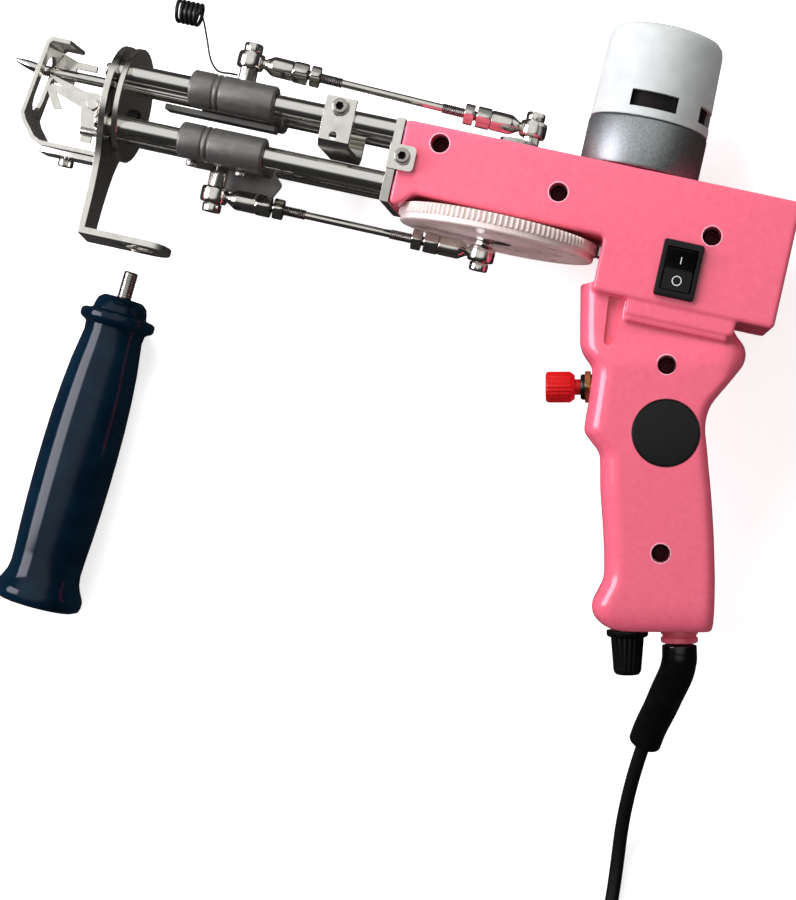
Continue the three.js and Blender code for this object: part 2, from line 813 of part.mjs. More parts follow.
const housingCuts = [
  ...rodBores(HOUSING_FRONT_X - OVERRUN, rodRearX + FIT_GAP, RUNNING_GAP),
  bore(SHAFT_RADIUS + FIT_GAP, [0, LUG_BOTTOM_Y, 0], [0, headTop + OVERRUN, 0]),
  bore(
    BEARING_RADIUS + RUNNING_GAP,
    [0, HOUSING_TOP_Y - BEARING_HEIGHT - FIT_GAP, 0],
    [0, HOUSING_TOP_Y + OVERRUN, 0],
  ),
  bore(BEARING_RADIUS + RUNNING_GAP, [0, BELLY_Y - OVERRUN, 0], [0, BELLY_Y + BEARING_HEIGHT + FIT_GAP, 0]),
  bore(MOTOR_SHAFT_POCKET, [MOTOR_X, GEAR_TOP_Y, 0], [MOTOR_X, HOUSING_TOP_Y + OVERRUN, 0]),
  pinionPocket,
  gearPocket,
  // pocket of the rocker switch
  box(
    SWITCH_X - SWITCH_BODY_WIDTH / 2 - FIT_GAP,
    SWITCH_X + SWITCH_BODY_WIDTH / 2 + FIT_GAP,
    SWITCH_Y - SWITCH_BODY_HEIGHT / 2 - FIT_GAP,
    SWITCH_Y + SWITCH_BODY_HEIGHT / 2 + FIT_GAP,
    HALF_THICKNESS - SWITCH_BODY_DEPTH - FIT_GAP,
    HALF_THICKNESS + OVERRUN,
  ),
  bore(BUSH_RADIUS + RUNNING_GAP, buttonPlace(-BUSH_LENGTH), buttonPlace(OVERRUN + NUT_RADIUS)),
  bore(NUT_RADIUS + FIT_GAP, buttonPlace(0), buttonPlace(NUT_RADIUS)),
  bore(CONTROL_RADIUS + FIT_GAP, knobPlace(controlTop - FIT_GAP), knobPlace(-CONTROL_SEAT + FIT_GAP)),
  bore(CONTROL_BUSH_RADIUS + FIT_GAP, knobPlace(-CONTROL_SEAT), knobPlace(OVERRUN + OVERRUN)),
  bore(
    COLLAR_RADIUS + RUNNING_GAP,
    collarPlace(collarStart - FIT_GAP),
    collarPlace(GRIP_LENGTH + OVERRUN),
  ),
  bore(
    BADGE_RADIUS + FIT_GAP,
    [BADGE_X, BADGE_Y, badgeLevel - BADGE_THICKNESS],
    [BADGE_X, BADGE_Y, HALF_THICKNESS],
    FINE,
  ),
  bore(CAP_SHANK_RADIUS + RUNNING_GAP, [TAB_SCREW_X, TAB_SCREW_Y, HALF_THICKNESS - NUT_RADIUS], [
    TAB_SCREW_X,
    TAB_SCREW_Y,
    HALF_THICKNESS + OVERRUN,
  ]),
];
for (const [, x, y] of shellScrews) {
  housingCuts.push(
    bore(COUNTERBORE_RADIUS, [x, y, seatOf(y)], [x, y, HALF_THICKNESS + OVERRUN]),
    bore(
      SCREW_SHANK_RADIUS + RUNNING_GAP,
      [x, y, seatOf(y) - SCREW_SHANK_LENGTH - FIT_GAP],
      [x, y, HALF_THICKNESS],
      HEX,
    ),
  );
}
const housing = cut(join(barrelAndBlock, grip), ...housingCuts);
const wide = HOUSING_REAR_X * 2;
const above = box(-wide, wide, -wide, wide, -FIT_GAP / 2, wide);
const below = box(-wide, wide, -wide, wide, -wide, FIT_GAP / 2);
piece("housing_near", housing.subtract(below), pinkPlastic());
piece("housing_far", housing.subtract(above), pinkPlastic());

// A pan-headed screw standing in its counterbore, with a hexagon socket
for (const [name, x, y] of shellScrews) {
  const seat = seatOf(y) + RUNNING_GAP;
  const top = seat + SCREW_HEAD_HEIGHT;
  const made = cut(
    join(
      bar(SCREW_HEAD_RADIUS, [x, y, seat], [x, y, top], SMALL),
      bar(SCREW_SHANK_RADIUS, [x, y, seat - SCREW_SHANK_LENGTH], [x, y, top - SCREW_SHANK_RADIUS], HEX),
    ),
    bar(CAP_SOCKET_RADIUS, [x, y, top - CAP_SOCKET_DEPTH], [x, y, top + OVERRUN], HEX),
  );
  piece(name, made, darkSteel());
}

// Front plate and guide rods

const plateRearX = HOUSING_FRONT_X - FIT_GAP;
const plateFrontX = plateRearX - PLATE_THICKNESS;
const tabLowZ = HALF_THICKNESS + FIT_GAP;
const tabHighZ = tabLowZ + TAB_THICKNESS;
const frontPlate = cut(
  join(
    box(plateFrontX, plateRearX, PLATE_BOTTOM_Y, HOUSING_TOP_Y, -HALF_THICKNESS, HALF_THICKNESS),
    box(plateFrontX, plateRearX, TAB_LOW_Y, TAB_HIGH_Y, 0, tabHighZ),
    prism(
      rounded(rectangle(plateFrontX, TAB_REAR_X, TAB_LOW_Y, TAB_HIGH_Y), TAB_THICKNESS),
      tabLowZ,
      tabHighZ,
    ),
  ),
  ...rodBores(plateFrontX - OVERRUN, plateRearX + OVERRUN, RUNNING_GAP),
  bore(CAP_SHANK_RADIUS + RUNNING_GAP, [TAB_SCREW_X, TAB_SCREW_Y, tabLowZ - OVERRUN], [
    TAB_SCREW_X,
    TAB_SCREW_Y,
    tabHighZ + OVERRUN,
  ]),
);
piece("front_plate", frontPlate, steel());

// A socket-headed cap screw, from its seat along its axis
function capScrew(seat, direction, length, head = CAP_HEAD_RADIUS, shank = CAP_SHANK_RADIUS) {
  const axis = new THREE.Vector3(...direction);
  const at = (along) => new THREE.Vector3(...seat).addScaledVector(axis, along).toArray();
  return cut(
    join(
      bar(head, at(0), at(CAP_HEAD_HEIGHT), SMALL),
      bar(shank, at(-length), at(shank), HEX),
    ),
    bar(CAP_SOCKET_RADIUS, at(CAP_HEAD_HEIGHT - CAP_SOCKET_DEPTH), at(CAP_HEAD_HEIGHT + OVERRUN), HEX),
  );
}
piece(
  "front_plate_screw",
  capScrew([TAB_SCREW_X, TAB_SCREW_Y, tabHighZ + RUNNING_GAP], [0, 0, 1], CAP_HEAD_HEIGHT * 2),
  darkSteel(),
);
for (const [name, y, z] of rodPlaces) {
  piece(
    "guide_rod_" + name,
    bar(ROD_RADIUS, [NOSE_FRONT_X, y, z], [rodRearX, y, z]),
    steel(),
  );
}

// Nose, arm and foot

const needleHole = (from, to) =>
  bore(NEEDLE_RADIUS + FIT_GAP, [from, NEEDLE_Y, 0], [to, NEEDLE_Y, 0], SMALL);
const movingBladeZ = FIXED_BLADE_Z + BLADE_THICKNESS + FIT_GAP;
const pushRodZ = movingBladeZ + BLADE_THICKNESS + FIT_GAP + PUSH_ROD_RADIUS;
const pushRodHole = (from, to) =>
  bore(PUSH_ROD_RADIUS + FIT_GAP, [from, PUSH_ROD_Y, pushRodZ], [to, PUSH_ROD_Y, pushRodZ], SMALL);
const noseHoles = (from, to) => [
  ...rodBores(from, to, RUNNING_GAP),
  needleHole(from, to),
  pushRodHole(from, to),
];

piece(
  "nose_rear_disc",
  cut(
    prism(circle(NOSE_RADIUS, FINE), NOSE_REAR_X, NOSE_REAR_X + NOSE_PLATE_THICKNESS, ALONG_X),
    ...noseHoles(NOSE_REAR_X - OVERRUN, NOSE_REAR_X + NOSE_PLATE_THICKNESS + OVERRUN),
  ),
  steel(),
);
const bumperX = NOSE_REAR_X + NOSE_PLATE_THICKNESS + FIT_GAP;
piece(
  "nose_bumper",
  turned(
    [
      [0, 0],
      [0, BUMPER_RADIUS],
      [BUMPER_LENGTH - BUMPER_RADIUS / 2, BUMPER_RADIUS],
      [BUMPER_LENGTH, BUMPER_RADIUS / 2],
      [BUMPER_LENGTH, 0],
    ],
    [bumperX, BUMPER_Y, 0],
    [1, 0, 0],
    SMALL,
  ),
  blackPlastic(),
);

// The arm is rolled a little about the barrel's axis, with the plate's disc on its top
const armRight = armShares.map(([down, half]) => [-down * ARM_DROP, half * ARM_HALF_WIDTH]);
const armLeft = armShares.map(([down, half]) => [-down * ARM_DROP, -half * ARM_HALF_WIDTH]);
const roll = new THREE.Matrix4().makeRotationX(ARM_ROLL);
const rolledX = roll.clone().multiply(ALONG_X);
const rolledY = roll.clone().multiply(ALONG_Y);
const tabEndX = NOSE_FRONT_X + TAB_LENGTH;
const handleHoleX = tabEndX - HANDLE_HOLE_END;
const armBottom = -ARM_DROP;
const footLugHigh = FOOT_SOLE_Y - FOOT_THICKNESS / 2 - FIT_GAP;
const footLugLow = footLugHigh - FOOT_LUG_THICKNESS;
const armPlate = cut(
  join(
    prism(circle(NOSE_RADIUS, FINE), NOSE_FRONT_X, NOSE_FRONT_X + NOSE_PLATE_THICKNESS, ALONG_X),
    prism(
      outline([...armRight, ...armLeft.reverse()]),
      NOSE_FRONT_X,
      NOSE_FRONT_X + NOSE_PLATE_THICKNESS,
      rolledX,
    ),
    box(
      NOSE_FRONT_X - FOOT_LUG_FRONT,
      NOSE_FRONT_X + NOSE_PLATE_THICKNESS / 2,
      footLugLow,
      footLugHigh,
      -FOOT_LUG_WIDTH / 2,
      FOOT_LUG_WIDTH / 2,
    ),
    cut(
      join(
        prism(
          outline(
            rectangle(-ARM_HALF_WIDTH, ARM_HALF_WIDTH, NOSE_FRONT_X, tabEndX - ARM_HALF_WIDTH),
          ),
          armBottom,
          armBottom + NOSE_PLATE_THICKNESS,
          rolledY,
        ),
        prism(
          circle(ARM_HALF_WIDTH, MEDIUM, 0, tabEndX - ARM_HALF_WIDTH),
          armBottom,
          armBottom + NOSE_PLATE_THICKNESS,
          rolledY,
        ),
      ),
      prism(
        circle(HANDLE_HOLE_RADIUS / Math.cos(Math.PI / SMALL), SMALL, 0, handleHoleX),
        armBottom - OVERRUN,
        armBottom + NOSE_PLATE_THICKNESS + OVERRUN,
        rolledY,
      ),
    ),
  ),
  ...noseHoles(NOSE_FRONT_X - OVERRUN, NOSE_FRONT_X + NOSE_PLATE_THICKNESS + OVERRUN),
  bore(
    CAP_SHANK_RADIUS + RUNNING_GAP,
    [FOOT_SCREW_X, footLugLow - OVERRUN, 0],
    [FOOT_SCREW_X, footLugHigh + OVERRUN, 0],
    SMALL,
  ),
);
piece("nose_arm_plate", armPlate, steel());

// One bent strip: a top flange, the sloping face with its slot, and the sole back to the nose
const footRearX = NOSE_FRONT_X - FIT_GAP;
const footLine = [
  [FOOT_TOP_X + FOOT_FLANGE, FOOT_TOP_Y],
  [FOOT_TOP_X + FOOT_FLANGE_DROP, FOOT_TOP_Y],
  [FOOT_TOP_X, FOOT_TOP_Y - FOOT_FLANGE_DROP],
  [FOOT_HEEL_X, FOOT_HEEL_Y],
  [FOOT_HEEL_X + FOOT_FLANGE_DROP, FOOT_HEEL_Y - FOOT_FLANGE_DROP * 2],
  [FOOT_SOLE_X - FOOT_FLANGE_DROP * 2, FOOT_SOLE_Y + FOOT_FLANGE_DROP],
  [FOOT_SOLE_X, FOOT_SOLE_Y],
  [footRearX, FOOT_SOLE_Y],
];
const foot = cut(
  join(
    prism(strip(footLine, FOOT_THICKNESS), -FOOT_WIDTH / 2, FOOT_WIDTH / 2),
    // folded wing on the far edge, with the yarn finger
    prism(
      outline([
        [FOOT_TOP_X, FOOT_TOP_Y - FOOT_THICKNESS],
        [FOOT_TOP_X - FOOT_THICKNESS / 2, FOOT_FINGER_Y - FOOT_WING_DEPTH],
        [FOOT_TOP_X + FOOT_WING_DEPTH, FOOT_FINGER_Y - FOOT_WING_DEPTH],
        [FOOT_TOP_X + FOOT_WING_DEPTH, FOOT_FINGER_Y],
        [FOOT_TOP_X + FOOT_FINGER_LENGTH, FOOT_FINGER_Y],
        [FOOT_TOP_X + FOOT_FINGER_LENGTH, FOOT_FINGER_Y + FOOT_FINGER_HEIGHT],
        [FOOT_TOP_X + FOOT_WING_DEPTH, FOOT_FINGER_Y + FOOT_FINGER_HEIGHT],
      ]),
      -FOOT_WIDTH / 2,
      -FOOT_WIDTH / 2 + FOOT_THICKNESS,
    ),
  ),
  prism(
    slot(FOOT_SLOT_LOW, FOOT_SLOT_HIGH, 0, FOOT_SLOT_WIDTH / 2),
    FOOT_HEEL_X - OVERRUN - OVERRUN,
    FOOT_TOP_X + OVERRUN,
    ALONG_X,
  ),
  bore(
    CAP_SHANK_RADIUS + RUNNING_GAP,
    [FOOT_SCREW_X, FOOT_SOLE_Y - OVERRUN, 0],
    [FOOT_SCREW_X, FOOT_SOLE_Y + OVERRUN, 0],
    SMALL,
  ),
);
piece("presser_foot", foot, steel());
piece(
  "foot_screw",
  capScrew([FOOT_SCREW_X, footLugLow - RUNNING_GAP, 0], [0, -1, 0], FOOT_LUG_THICKNESS + FOOT_THICKNESS),
  steel(),
);

// Bracket on the upper rods

const legZ = ROD_OFFSET_Z + ROD_RADIUS + FIT_GAP + BRACKET_THICKNESS / 2;
const bracket = cut(
  prism(
    strip(
      [
        [BRACKET_TOP_Y, -legZ],
        [BRACKET_BOTTOM_Y + BRACKET_BEND, -legZ],
        [BRACKET_BOTTOM_Y, -legZ + BRACKET_BEND],
        [BRACKET_BOTTOM_Y, legZ - BRACKET_BEND],
        [BRACKET_BOTTOM_Y + BRACKET_BEND, legZ],
        [BRACKET_TOP_Y, legZ],
      ],
      BRACKET_THICKNESS,
    ),
    BRACKET_FRONT_X,
    BRACKET_REAR_X,
    ALONG_X,
  ),
  bore(
    CAP_SHANK_RADIUS + RUNNING_GAP,
    [BRACKET_SCREW_X, BRACKET_SCREW_Y, legZ - OVERRUN],
    [BRACKET_SCREW_X, BRACKET_SCREW_Y, legZ + OVERRUN],
    SMALL,
  ),
  bore(
    CAP_SHANK_RADIUS,
    [BRACKET_HOLE_X, BRACKET_HOLE_Y, legZ - OVERRUN],
    [BRACKET_HOLE_X, BRACKET_HOLE_Y, legZ + OVERRUN],
    SMALL,
  ),
);
piece("rod_bracket", bracket, steel());
piece(
  "rod_bracket_screw",
  capScrew(
    [BRACKET_SCREW_X, BRACKET_SCREW_Y, legZ + BRACKET_THICKNESS / 2 + RUNNING_GAP],
    [0, 0, 1],
    BRACKET_THICKNESS + RUNNING_GAP,
  ),
  darkSteel(),
);

// Motor

const canBottomY = HOUSING_TOP_Y + FIT_GAP;
const canTopY = canBottomY + CAN_HEIGHT;
piece(
  "motor_can",
  turned(
    [
      [0, 0],
      [0, CAN_RADIUS],
      [CAN_HEIGHT - CAN_EDGE, CAN_RADIUS],
      [CAN_HEIGHT, CAN_RADIUS - CAN_EDGE],
      [CAN_HEIGHT, CORE_RADIUS],
      [CAN_HEIGHT + CORE_HEIGHT - CAN_EDGE, CORE_RADIUS],
      [CAN_HEIGHT + CORE_HEIGHT, CORE_RADIUS - CAN_EDGE],
      [CAN_HEIGHT + CORE_HEIGHT, 0],
    ],
    [MOTOR_X, canBottomY, 0],
    [0, 1, 0],
    FINE,
  ),
  material(0x8c8e8e, 0.45, 0.7),
);
const capBottomY = canTopY + FIT_GAP;
const windowLow = capBottomY + WINDOW_RISE;
const windowHigh = windowLow + WINDOW_HEIGHT;
const windowCut = (angle) => {
  const turn = new THREE.Matrix4()
    .makeTranslation(MOTOR_X, 0, 0)
    .multiply(new THREE.Matrix4().makeRotationY(angle))
    .multiply(ALONG_Z);
  return prism(
    outline(rectangle(-WINDOW_WIDTH / 2, WINDOW_WIDTH / 2, windowLow, windowHigh)),
    CORE_RADIUS,
    CAN_RADIUS + OVERRUN,
    turn,
  );
};
const motorCap = cut(
  turned(
    [
      [0, 0],
      [0, CAP_BOTTOM_RADIUS],
      [CAP_HEIGHT - CAP_ROUND, CAP_TOP_RADIUS],
      [CAP_HEIGHT - CAP_ROUND * 0.3, CAP_TOP_RADIUS - CAP_ROUND * 0.3],
      [CAP_HEIGHT, CAP_TOP_RADIUS - CAP_ROUND],
      [CAP_HEIGHT, 0],
    ],
    [MOTOR_X, capBottomY, 0],
    [0, 1, 0],
    FINE,
  ),
  bar(
    CAP_BOTTOM_RADIUS - CAP_WALL,
    [MOTOR_X, capBottomY - OVERRUN, 0],
    [MOTOR_X, capBottomY + CAP_HEIGHT - CAP_WALL, 0],
    FINE,
    CAP_TOP_RADIUS - CAP_WALL,
  ),
  windowCut(0),
  windowCut(SIDE_WINDOW_ANGLE),
);
piece("motor_cap", motorCap, material(0xf2f1ee, 0.5, 0));

// Gear train and crank

// Toothed outline with pointed, straight-sided teeth, from the pitch radius
function toothed(teeth, phase) {
  const pitch = (teeth * TOOTH_MODULE) / 2;
  const tip = pitch + TOOTH_HEIGHT / 2;
  const root = pitch - TOOTH_HEIGHT / 2;
  const step = (Math.PI * 2) / teeth;
  const points = [];
  for (let i = 0; i < teeth; i += 1) {
    const middle = (i + phase) * step;
    for (const [radius, share] of [
      [root, -TOOTH_ROOT_SHARE],
      [tip, 0],
      [root, TOOTH_ROOT_SHARE],
    ]) {
      const angle = middle + share * step;
      points.push([radius * Math.cos(angle), radius * Math.sin(angle)]);
    }
  }
  return outline(points);
}
const gearMesh = new THREE.Group();
machine.add(gearMesh);
// ALONG_Y draws in Z and X, so an angle of a quarter turn there faces the pinion
const facingPinion = GEAR_TEETH / 4;
const gearPhase = facingPinion - Math.floor(facingPinion);
const spokeAngle = (Math.PI * 2) / GEAR_SPOKES;
const recessInner = GEAR_HUB;
const recessOuter = GEAR_RADIUS - GEAR_RIM;
const recesses = [];
for (let i = 0; i < GEAR_SPOKES; i += 1) {
  const from = i * spokeAngle;
  const inset = (radius) => GEAR_RIB / radius;
  const points = [];
  for (let k = 0; k <= 4; k += 1) {
    const a = from + inset(recessOuter) + (k / 4) * (spokeAngle - inset(recessOuter) * 2);
    points.push([recessOuter * Math.cos(a), recessOuter * Math.sin(a)]);
  }
  for (let k = 2; k >= 0; k -= 1) {
    const a = from + inset(recessInner) + (k / 2) * (spokeAngle - inset(recessInner) * 2);
    points.push([recessInner * Math.cos(a), recessInner * Math.sin(a)]);
  }
  recesses.push(
    prism(outline(points), GEAR_TOP_Y - GEAR_RECESS, GEAR_TOP_Y + OVERRUN, ALONG_Y),
  );
}
const gear = cut(
  join(
    prism(toothed(GEAR_TEETH, gearPhase), gearBottomY + GEAR_BAND, GEAR_TOP_Y, ALONG_Y),
    prism(
      circle(GEAR_RADIUS - TOOTH_HEIGHT, FINE + SMALL),
      gearBottomY,
      gearBottomY + GEAR_BAND + TOOTH_HEIGHT,
      ALONG_Y,
    ),
  ),
  bore(GEAR_BORE_RADIUS, [0, gearBottomY - OVERRUN, 0], [0, GEAR_TOP_Y + OVERRUN, 0]),
  ...recesses,
);
piece("drive_gear", gear, palePlastic(), gearMesh);

// Crank shaft: collar in the gear, journal through both bearings, crank arm on top
const crankLow = HOUSING_TOP_Y + FIT_GAP * 2;
const crankHigh = crankLow + CRANK_THICKNESS;
const pinPlace = (radius, angle) => [radius * Math.sin(angle), radius * Math.cos(angle)];
const [needlePinX, needlePinZ] = pinPlace(NEEDLE_CRANK, NEEDLE_CRANK_ANGLE);
const [cutterPinX, cutterPinZ] = pinPlace(CUTTER_CRANK, CUTTER_CRANK_ANGLE);
const crankSide = [-Math.sin(NEEDLE_CRANK_ANGLE), Math.cos(NEEDLE_CRANK_ANGLE)];
const crankShaft = join(
  bar(GEAR_BORE_RADIUS - RUNNING_GAP, [0, gearBottomY, 0], [0, GEAR_TOP_Y, 0]),
  bar(SHAFT_RADIUS, [0, gearBottomY + GEAR_BAND, 0], [0, crankHigh - CRANK_THICKNESS / 2, 0]),
  prism(circle(CRANK_HUB_RADIUS, MEDIUM), crankLow, crankHigh, ALONG_Y),
  prism(circle(CRANK_EYE_RADIUS, MEDIUM, needlePinZ, needlePinX), crankLow, crankHigh, ALONG_Y),
  prism(
    outline([
      [CRANK_HUB_RADIUS * crankSide[0], CRANK_HUB_RADIUS * crankSide[1]],
      [-CRANK_HUB_RADIUS * crankSide[0], -CRANK_HUB_RADIUS * crankSide[1]],
      [
        needlePinZ - CRANK_EYE_RADIUS * crankSide[0],
        needlePinX - CRANK_EYE_RADIUS * crankSide[1],
      ],
      [
        needlePinZ + CRANK_EYE_RADIUS * crankSide[0],
        needlePinX + CRANK_EYE_RADIUS * crankSide[1],
      ],
    ]),
    crankLow,
    crankHigh,
    ALONG_Y,
  ),
);
piece("crank_shaft", crankShaft, steel(), gearMesh);

const bearing = (low) =>
  cut(
    bar(BEARING_RADIUS, [0, low, 0], [0, low + BEARING_HEIGHT, 0]),
    bore(SHAFT_RADIUS + RUNNING_GAP, [0, low - OVERRUN, 0], [0, low + BEARING_HEIGHT + OVERRUN, 0]),
  );
piece("bearing_upper", bearing(HOUSING_TOP_Y - BEARING_HEIGHT), darkSteel());
piece("bearing_lower", bearing(BELLY_Y), darkSteel());

// The pinion faces the gear with a gap between two of its teeth
const pinionPhase = PINION_TEETH * 0.75 + 0.5;
const pinionShape = toothed(PINION_TEETH, pinionPhase - Math.floor(pinionPhase));
const pinion = join(
  prism(
    pinionShape,
    gearBottomY + GEAR_BAND,
    GEAR_TOP_Y,
    new THREE.Matrix4().makeTranslation(MOTOR_X, 0, 0).multiply(ALONG_Y),
  ),
  bar(MOTOR_SHAFT_RADIUS, [MOTOR_X, gearBottomY + GEAR_BAND, 0], [MOTOR_X, canBottomY - FIT_GAP, 0]),
);
piece("motor_pinion", pinion, steel());

// Sliders

// Two barrels on one pair of rods, joined by a web
function sliderBlock(y) {
  const low = y > 0 ? WEB_LOW : -WEB_HIGH;
  const high = y > 0 ? WEB_HIGH : -WEB_LOW;
  const groove = (place) => [
    [place, BARREL_RADIUS],
    [place, BARREL_RADIUS - GROOVE_DEPTH],
    [place + GROOVE_WIDTH, BARREL_RADIUS - GROOVE_DEPTH],
    [place + GROOVE_WIDTH, BARREL_RADIUS],
  ];
  const barrel = (z) =>
    turned(
      [
        [0, 0],
        [0, BARREL_RADIUS - BARREL_CHAMFER],
        [BARREL_CHAMFER, BARREL_RADIUS],
        ...groove(GROOVE_PLACE),
        ...groove(GROOVE_PLACE + GROOVE_SPACE),
        [SLIDER_LENGTH - BARREL_CHAMFER, BARREL_RADIUS],
        [SLIDER_LENGTH, BARREL_RADIUS - BARREL_CHAMFER],
        [SLIDER_LENGTH, 0],
      ],
      [SLIDER_FRONT_X, y, z],
      [1, 0, 0],
    );
  const web = box(
    SLIDER_FRONT_X + WEB_INSET,
    SLIDER_FRONT_X + SLIDER_LENGTH - WEB_INSET,
    low,
    high,
    -ROD_OFFSET_Z,
    ROD_OFFSET_Z,
  );
  const rear = SLIDER_FRONT_X + SLIDER_LENGTH;
  return { body: join(barrel(ROD_OFFSET_Z), barrel(-ROD_OFFSET_Z), web), rear };
}
const sliderRodBores = (y, rear) =>
  [ROD_OFFSET_Z, -ROD_OFFSET_Z].map((z) =>
    bore(ROD_RADIUS + RUNNING_GAP, [SLIDER_FRONT_X - OVERRUN, y, z], [rear + OVERRUN, y, z], SMALL),
  );

const needleCarriage = new THREE.Group();
const cutterCarriage = new THREE.Group();
machine.add(needleCarriage, cutterCarriage);

const needleSeatX = SLIDER_FRONT_X + WEB_INSET + NEEDLE_SEAT;
const upper = sliderBlock(ROD_OFFSET_Y);
piece(
  "needle_slider",
  cut(
    upper.body,
    ...sliderRodBores(ROD_OFFSET_Y, upper.rear),
    bore(NEEDLE_RADIUS + RUNNING_GAP, [SLIDER_FRONT_X - OVERRUN, NEEDLE_Y, 0], [
      needleSeatX + FIT_GAP,
      NEEDLE_Y,
      0,
    ]),
  ),
  darkSteel(),
  needleCarriage,
);
const lower = sliderBlock(-ROD_OFFSET_Y);
const pushSeatX = SLIDER_FRONT_X + WEB_INSET + PUSH_ROD_SEAT;
const wing = prism(
  rounded(
    [
      [WING_FRONT_X, -ROD_OFFSET_Y],
      [WING_FRONT_X, -ROD_OFFSET_Y - BARREL_RADIUS],
      [WING_FRONT_X + BARREL_RADIUS, WING_BOTTOM_Y],
      [WING_REAR_X - BARREL_RADIUS / 2, WING_BOTTOM_Y],
      [WING_REAR_X, -ROD_OFFSET_Y - BARREL_RADIUS],
      [WING_REAR_X - BARREL_RADIUS, -ROD_OFFSET_Y],
    ],
    BARREL_CHAMFER * 2,
  ),
  WING_Z - WING_THICKNESS,
  WING_Z,
);
piece(
  "cutter_slider",
  cut(
    join(lower.body, wing),
    ...sliderRodBores(-ROD_OFFSET_Y, lower.rear),
    bore(
      PUSH_ROD_RADIUS + RUNNING_GAP,
      [SLIDER_FRONT_X - OVERRUN, PUSH_ROD_Y, pushRodZ],
      [pushSeatX + FIT_GAP, PUSH_ROD_Y, pushRodZ],
      SMALL,
    ),
  ),
  darkSteel(),
  cutterCarriage,
);
const barHigh = WEB_LOW - FIT_GAP;
piece(
  "needle_bar",
  prism(
    outline(rectangle(-BAR_WIDTH / 2, BAR_WIDTH / 2, BAR_FRONT_X, BAR_REAR_X)),
    barHigh - BAR_THICKNESS,
    barHigh,
    ALONG_Y,
  ),
  darkSteel(),
  needleCarriage,
);

// Needle and yarn guide

const needleShoulderX = NEEDLE_TIP_X + NEEDLE_POINT;
const needle = cut(
  join(
    bar(NEEDLE_RADIUS, [needleShoulderX, NEEDLE_Y, 0], [needleSeatX, NEEDLE_Y, 0], SMALL),
    bar(
      NEEDLE_RADIUS,
      [needleShoulderX, NEEDLE_Y, 0],
      [NEEDLE_TIP_X, NEEDLE_Y + NEEDLE_RADIUS / 2, 0],
      SMALL,
      WIRE_RADIUS / 2,
    ),
  ),
  bar(
    NEEDLE_BORE,
    [needleShoulderX - NEEDLE_RADIUS, NEEDLE_Y, 0],
    [needleSeatX + OVERRUN, NEEDLE_Y, 0],
    SMALL,
  ),
);
piece("needle", needle, steel(), needleCarriage);

// Hexagonal pin that carries a rod end: base, shank through the eye, head
function pin(x, z, seat, eyeY, side) {
  const eyeNear = eyeY - side * (EYE_HALF_HEIGHT + FIT_GAP);
  const headNear = eyeY + side * (EYE_HALF_HEIGHT + FIT_GAP);
  return cut(
    join(
      bar(PIN_HEX_RADIUS, [x, seat, z], [x, eyeNear, z], HEX),
      bar(PIN_RADIUS, [x, (seat + eyeNear) / 2, z], [x, headNear + side * (PIN_HEAD_HEIGHT / 2), z], SMALL),
      bar(PIN_HEAD_RADIUS, [x, headNear, z], [x, headNear + side * PIN_HEAD_HEIGHT, z], SMALL),
    ),
    bar(
      CAP_SOCKET_RADIUS,
      [x, headNear + side * (PIN_HEAD_HEIGHT - CAP_SOCKET_DEPTH), z],
      [x, headNear + side * (PIN_HEAD_HEIGHT + OVERRUN), z],
      HEX,
    ),
  );
}
piece(
  "needle_front_pin",
  pin(FRONT_PIN_UPPER_X, 0, WEB_HIGH + FIT_GAP, FRONT_EYE_UPPER_Y, 1),
  steel(),
  needleCarriage,
);
piece(
  "cutter_front_pin",
  pin(FRONT_PIN_LOWER_X, 0, -WEB_HIGH - FIT_GAP, FRONT_EYE_LOWER_Y, -1),
  steel(),
  cutterCarriage,
);

// Yarn guide: one wire, wound in a short coil, then a leg down to the front pin
const guideLine = [];
const guideSteps = Math.round(GUIDE_COIL_TURNS * GUIDE_STEPS_PER_TURN);
for (let i = 0; i <= guideSteps; i += 1) {
  const angle = (i / GUIDE_STEPS_PER_TURN) * Math.PI * 2;
  guideLine.push([
    THREE.MathUtils.lerp(GUIDE_COIL_FRONT_X, GUIDE_COIL_REAR_X, i / guideSteps),
    GUIDE_COIL_Y + GUIDE_COIL_RADIUS * Math.cos(angle),
    GUIDE_COIL_RADIUS * Math.sin(angle),
  ]);
}
const guideCoil = guideLine.slice();
const guideWireEnd = FRONT_PIN_UPPER_X - PIN_HEX_RADIUS - FIT_GAP;
guideLine.push(
  [GUIDE_COIL_REAR_X + GUIDE_COIL_RADIUS, GUIDE_COIL_Y - GUIDE_COIL_RADIUS * 1.6, 0],
  [GUIDE_LEG_X, GUIDE_LEG_Y, 0],
  [GUIDE_FOOT_X - GUIDE_COIL_RADIUS / 2, GUIDE_FOOT_Y + GUIDE_COIL_RADIUS * 1.5, 0],
  [GUIDE_FOOT_X + GUIDE_COIL_RADIUS, GUIDE_FOOT_Y, 0],
  [guideWireEnd - GUIDE_COIL_RADIUS, GUIDE_FOOT_Y, 0],
  [guideWireEnd, GUIDE_FOOT_Y, 0],
);
const guideSides = 5;
piece(
  "yarn_guide",
  tube(guideLine, WIRE_RADIUS, guideSides, guideSteps + GUIDE_STEPS_PER_TURN * 2),
  blackPlastic(),
  needleCarriage,
);

// Connecting rods

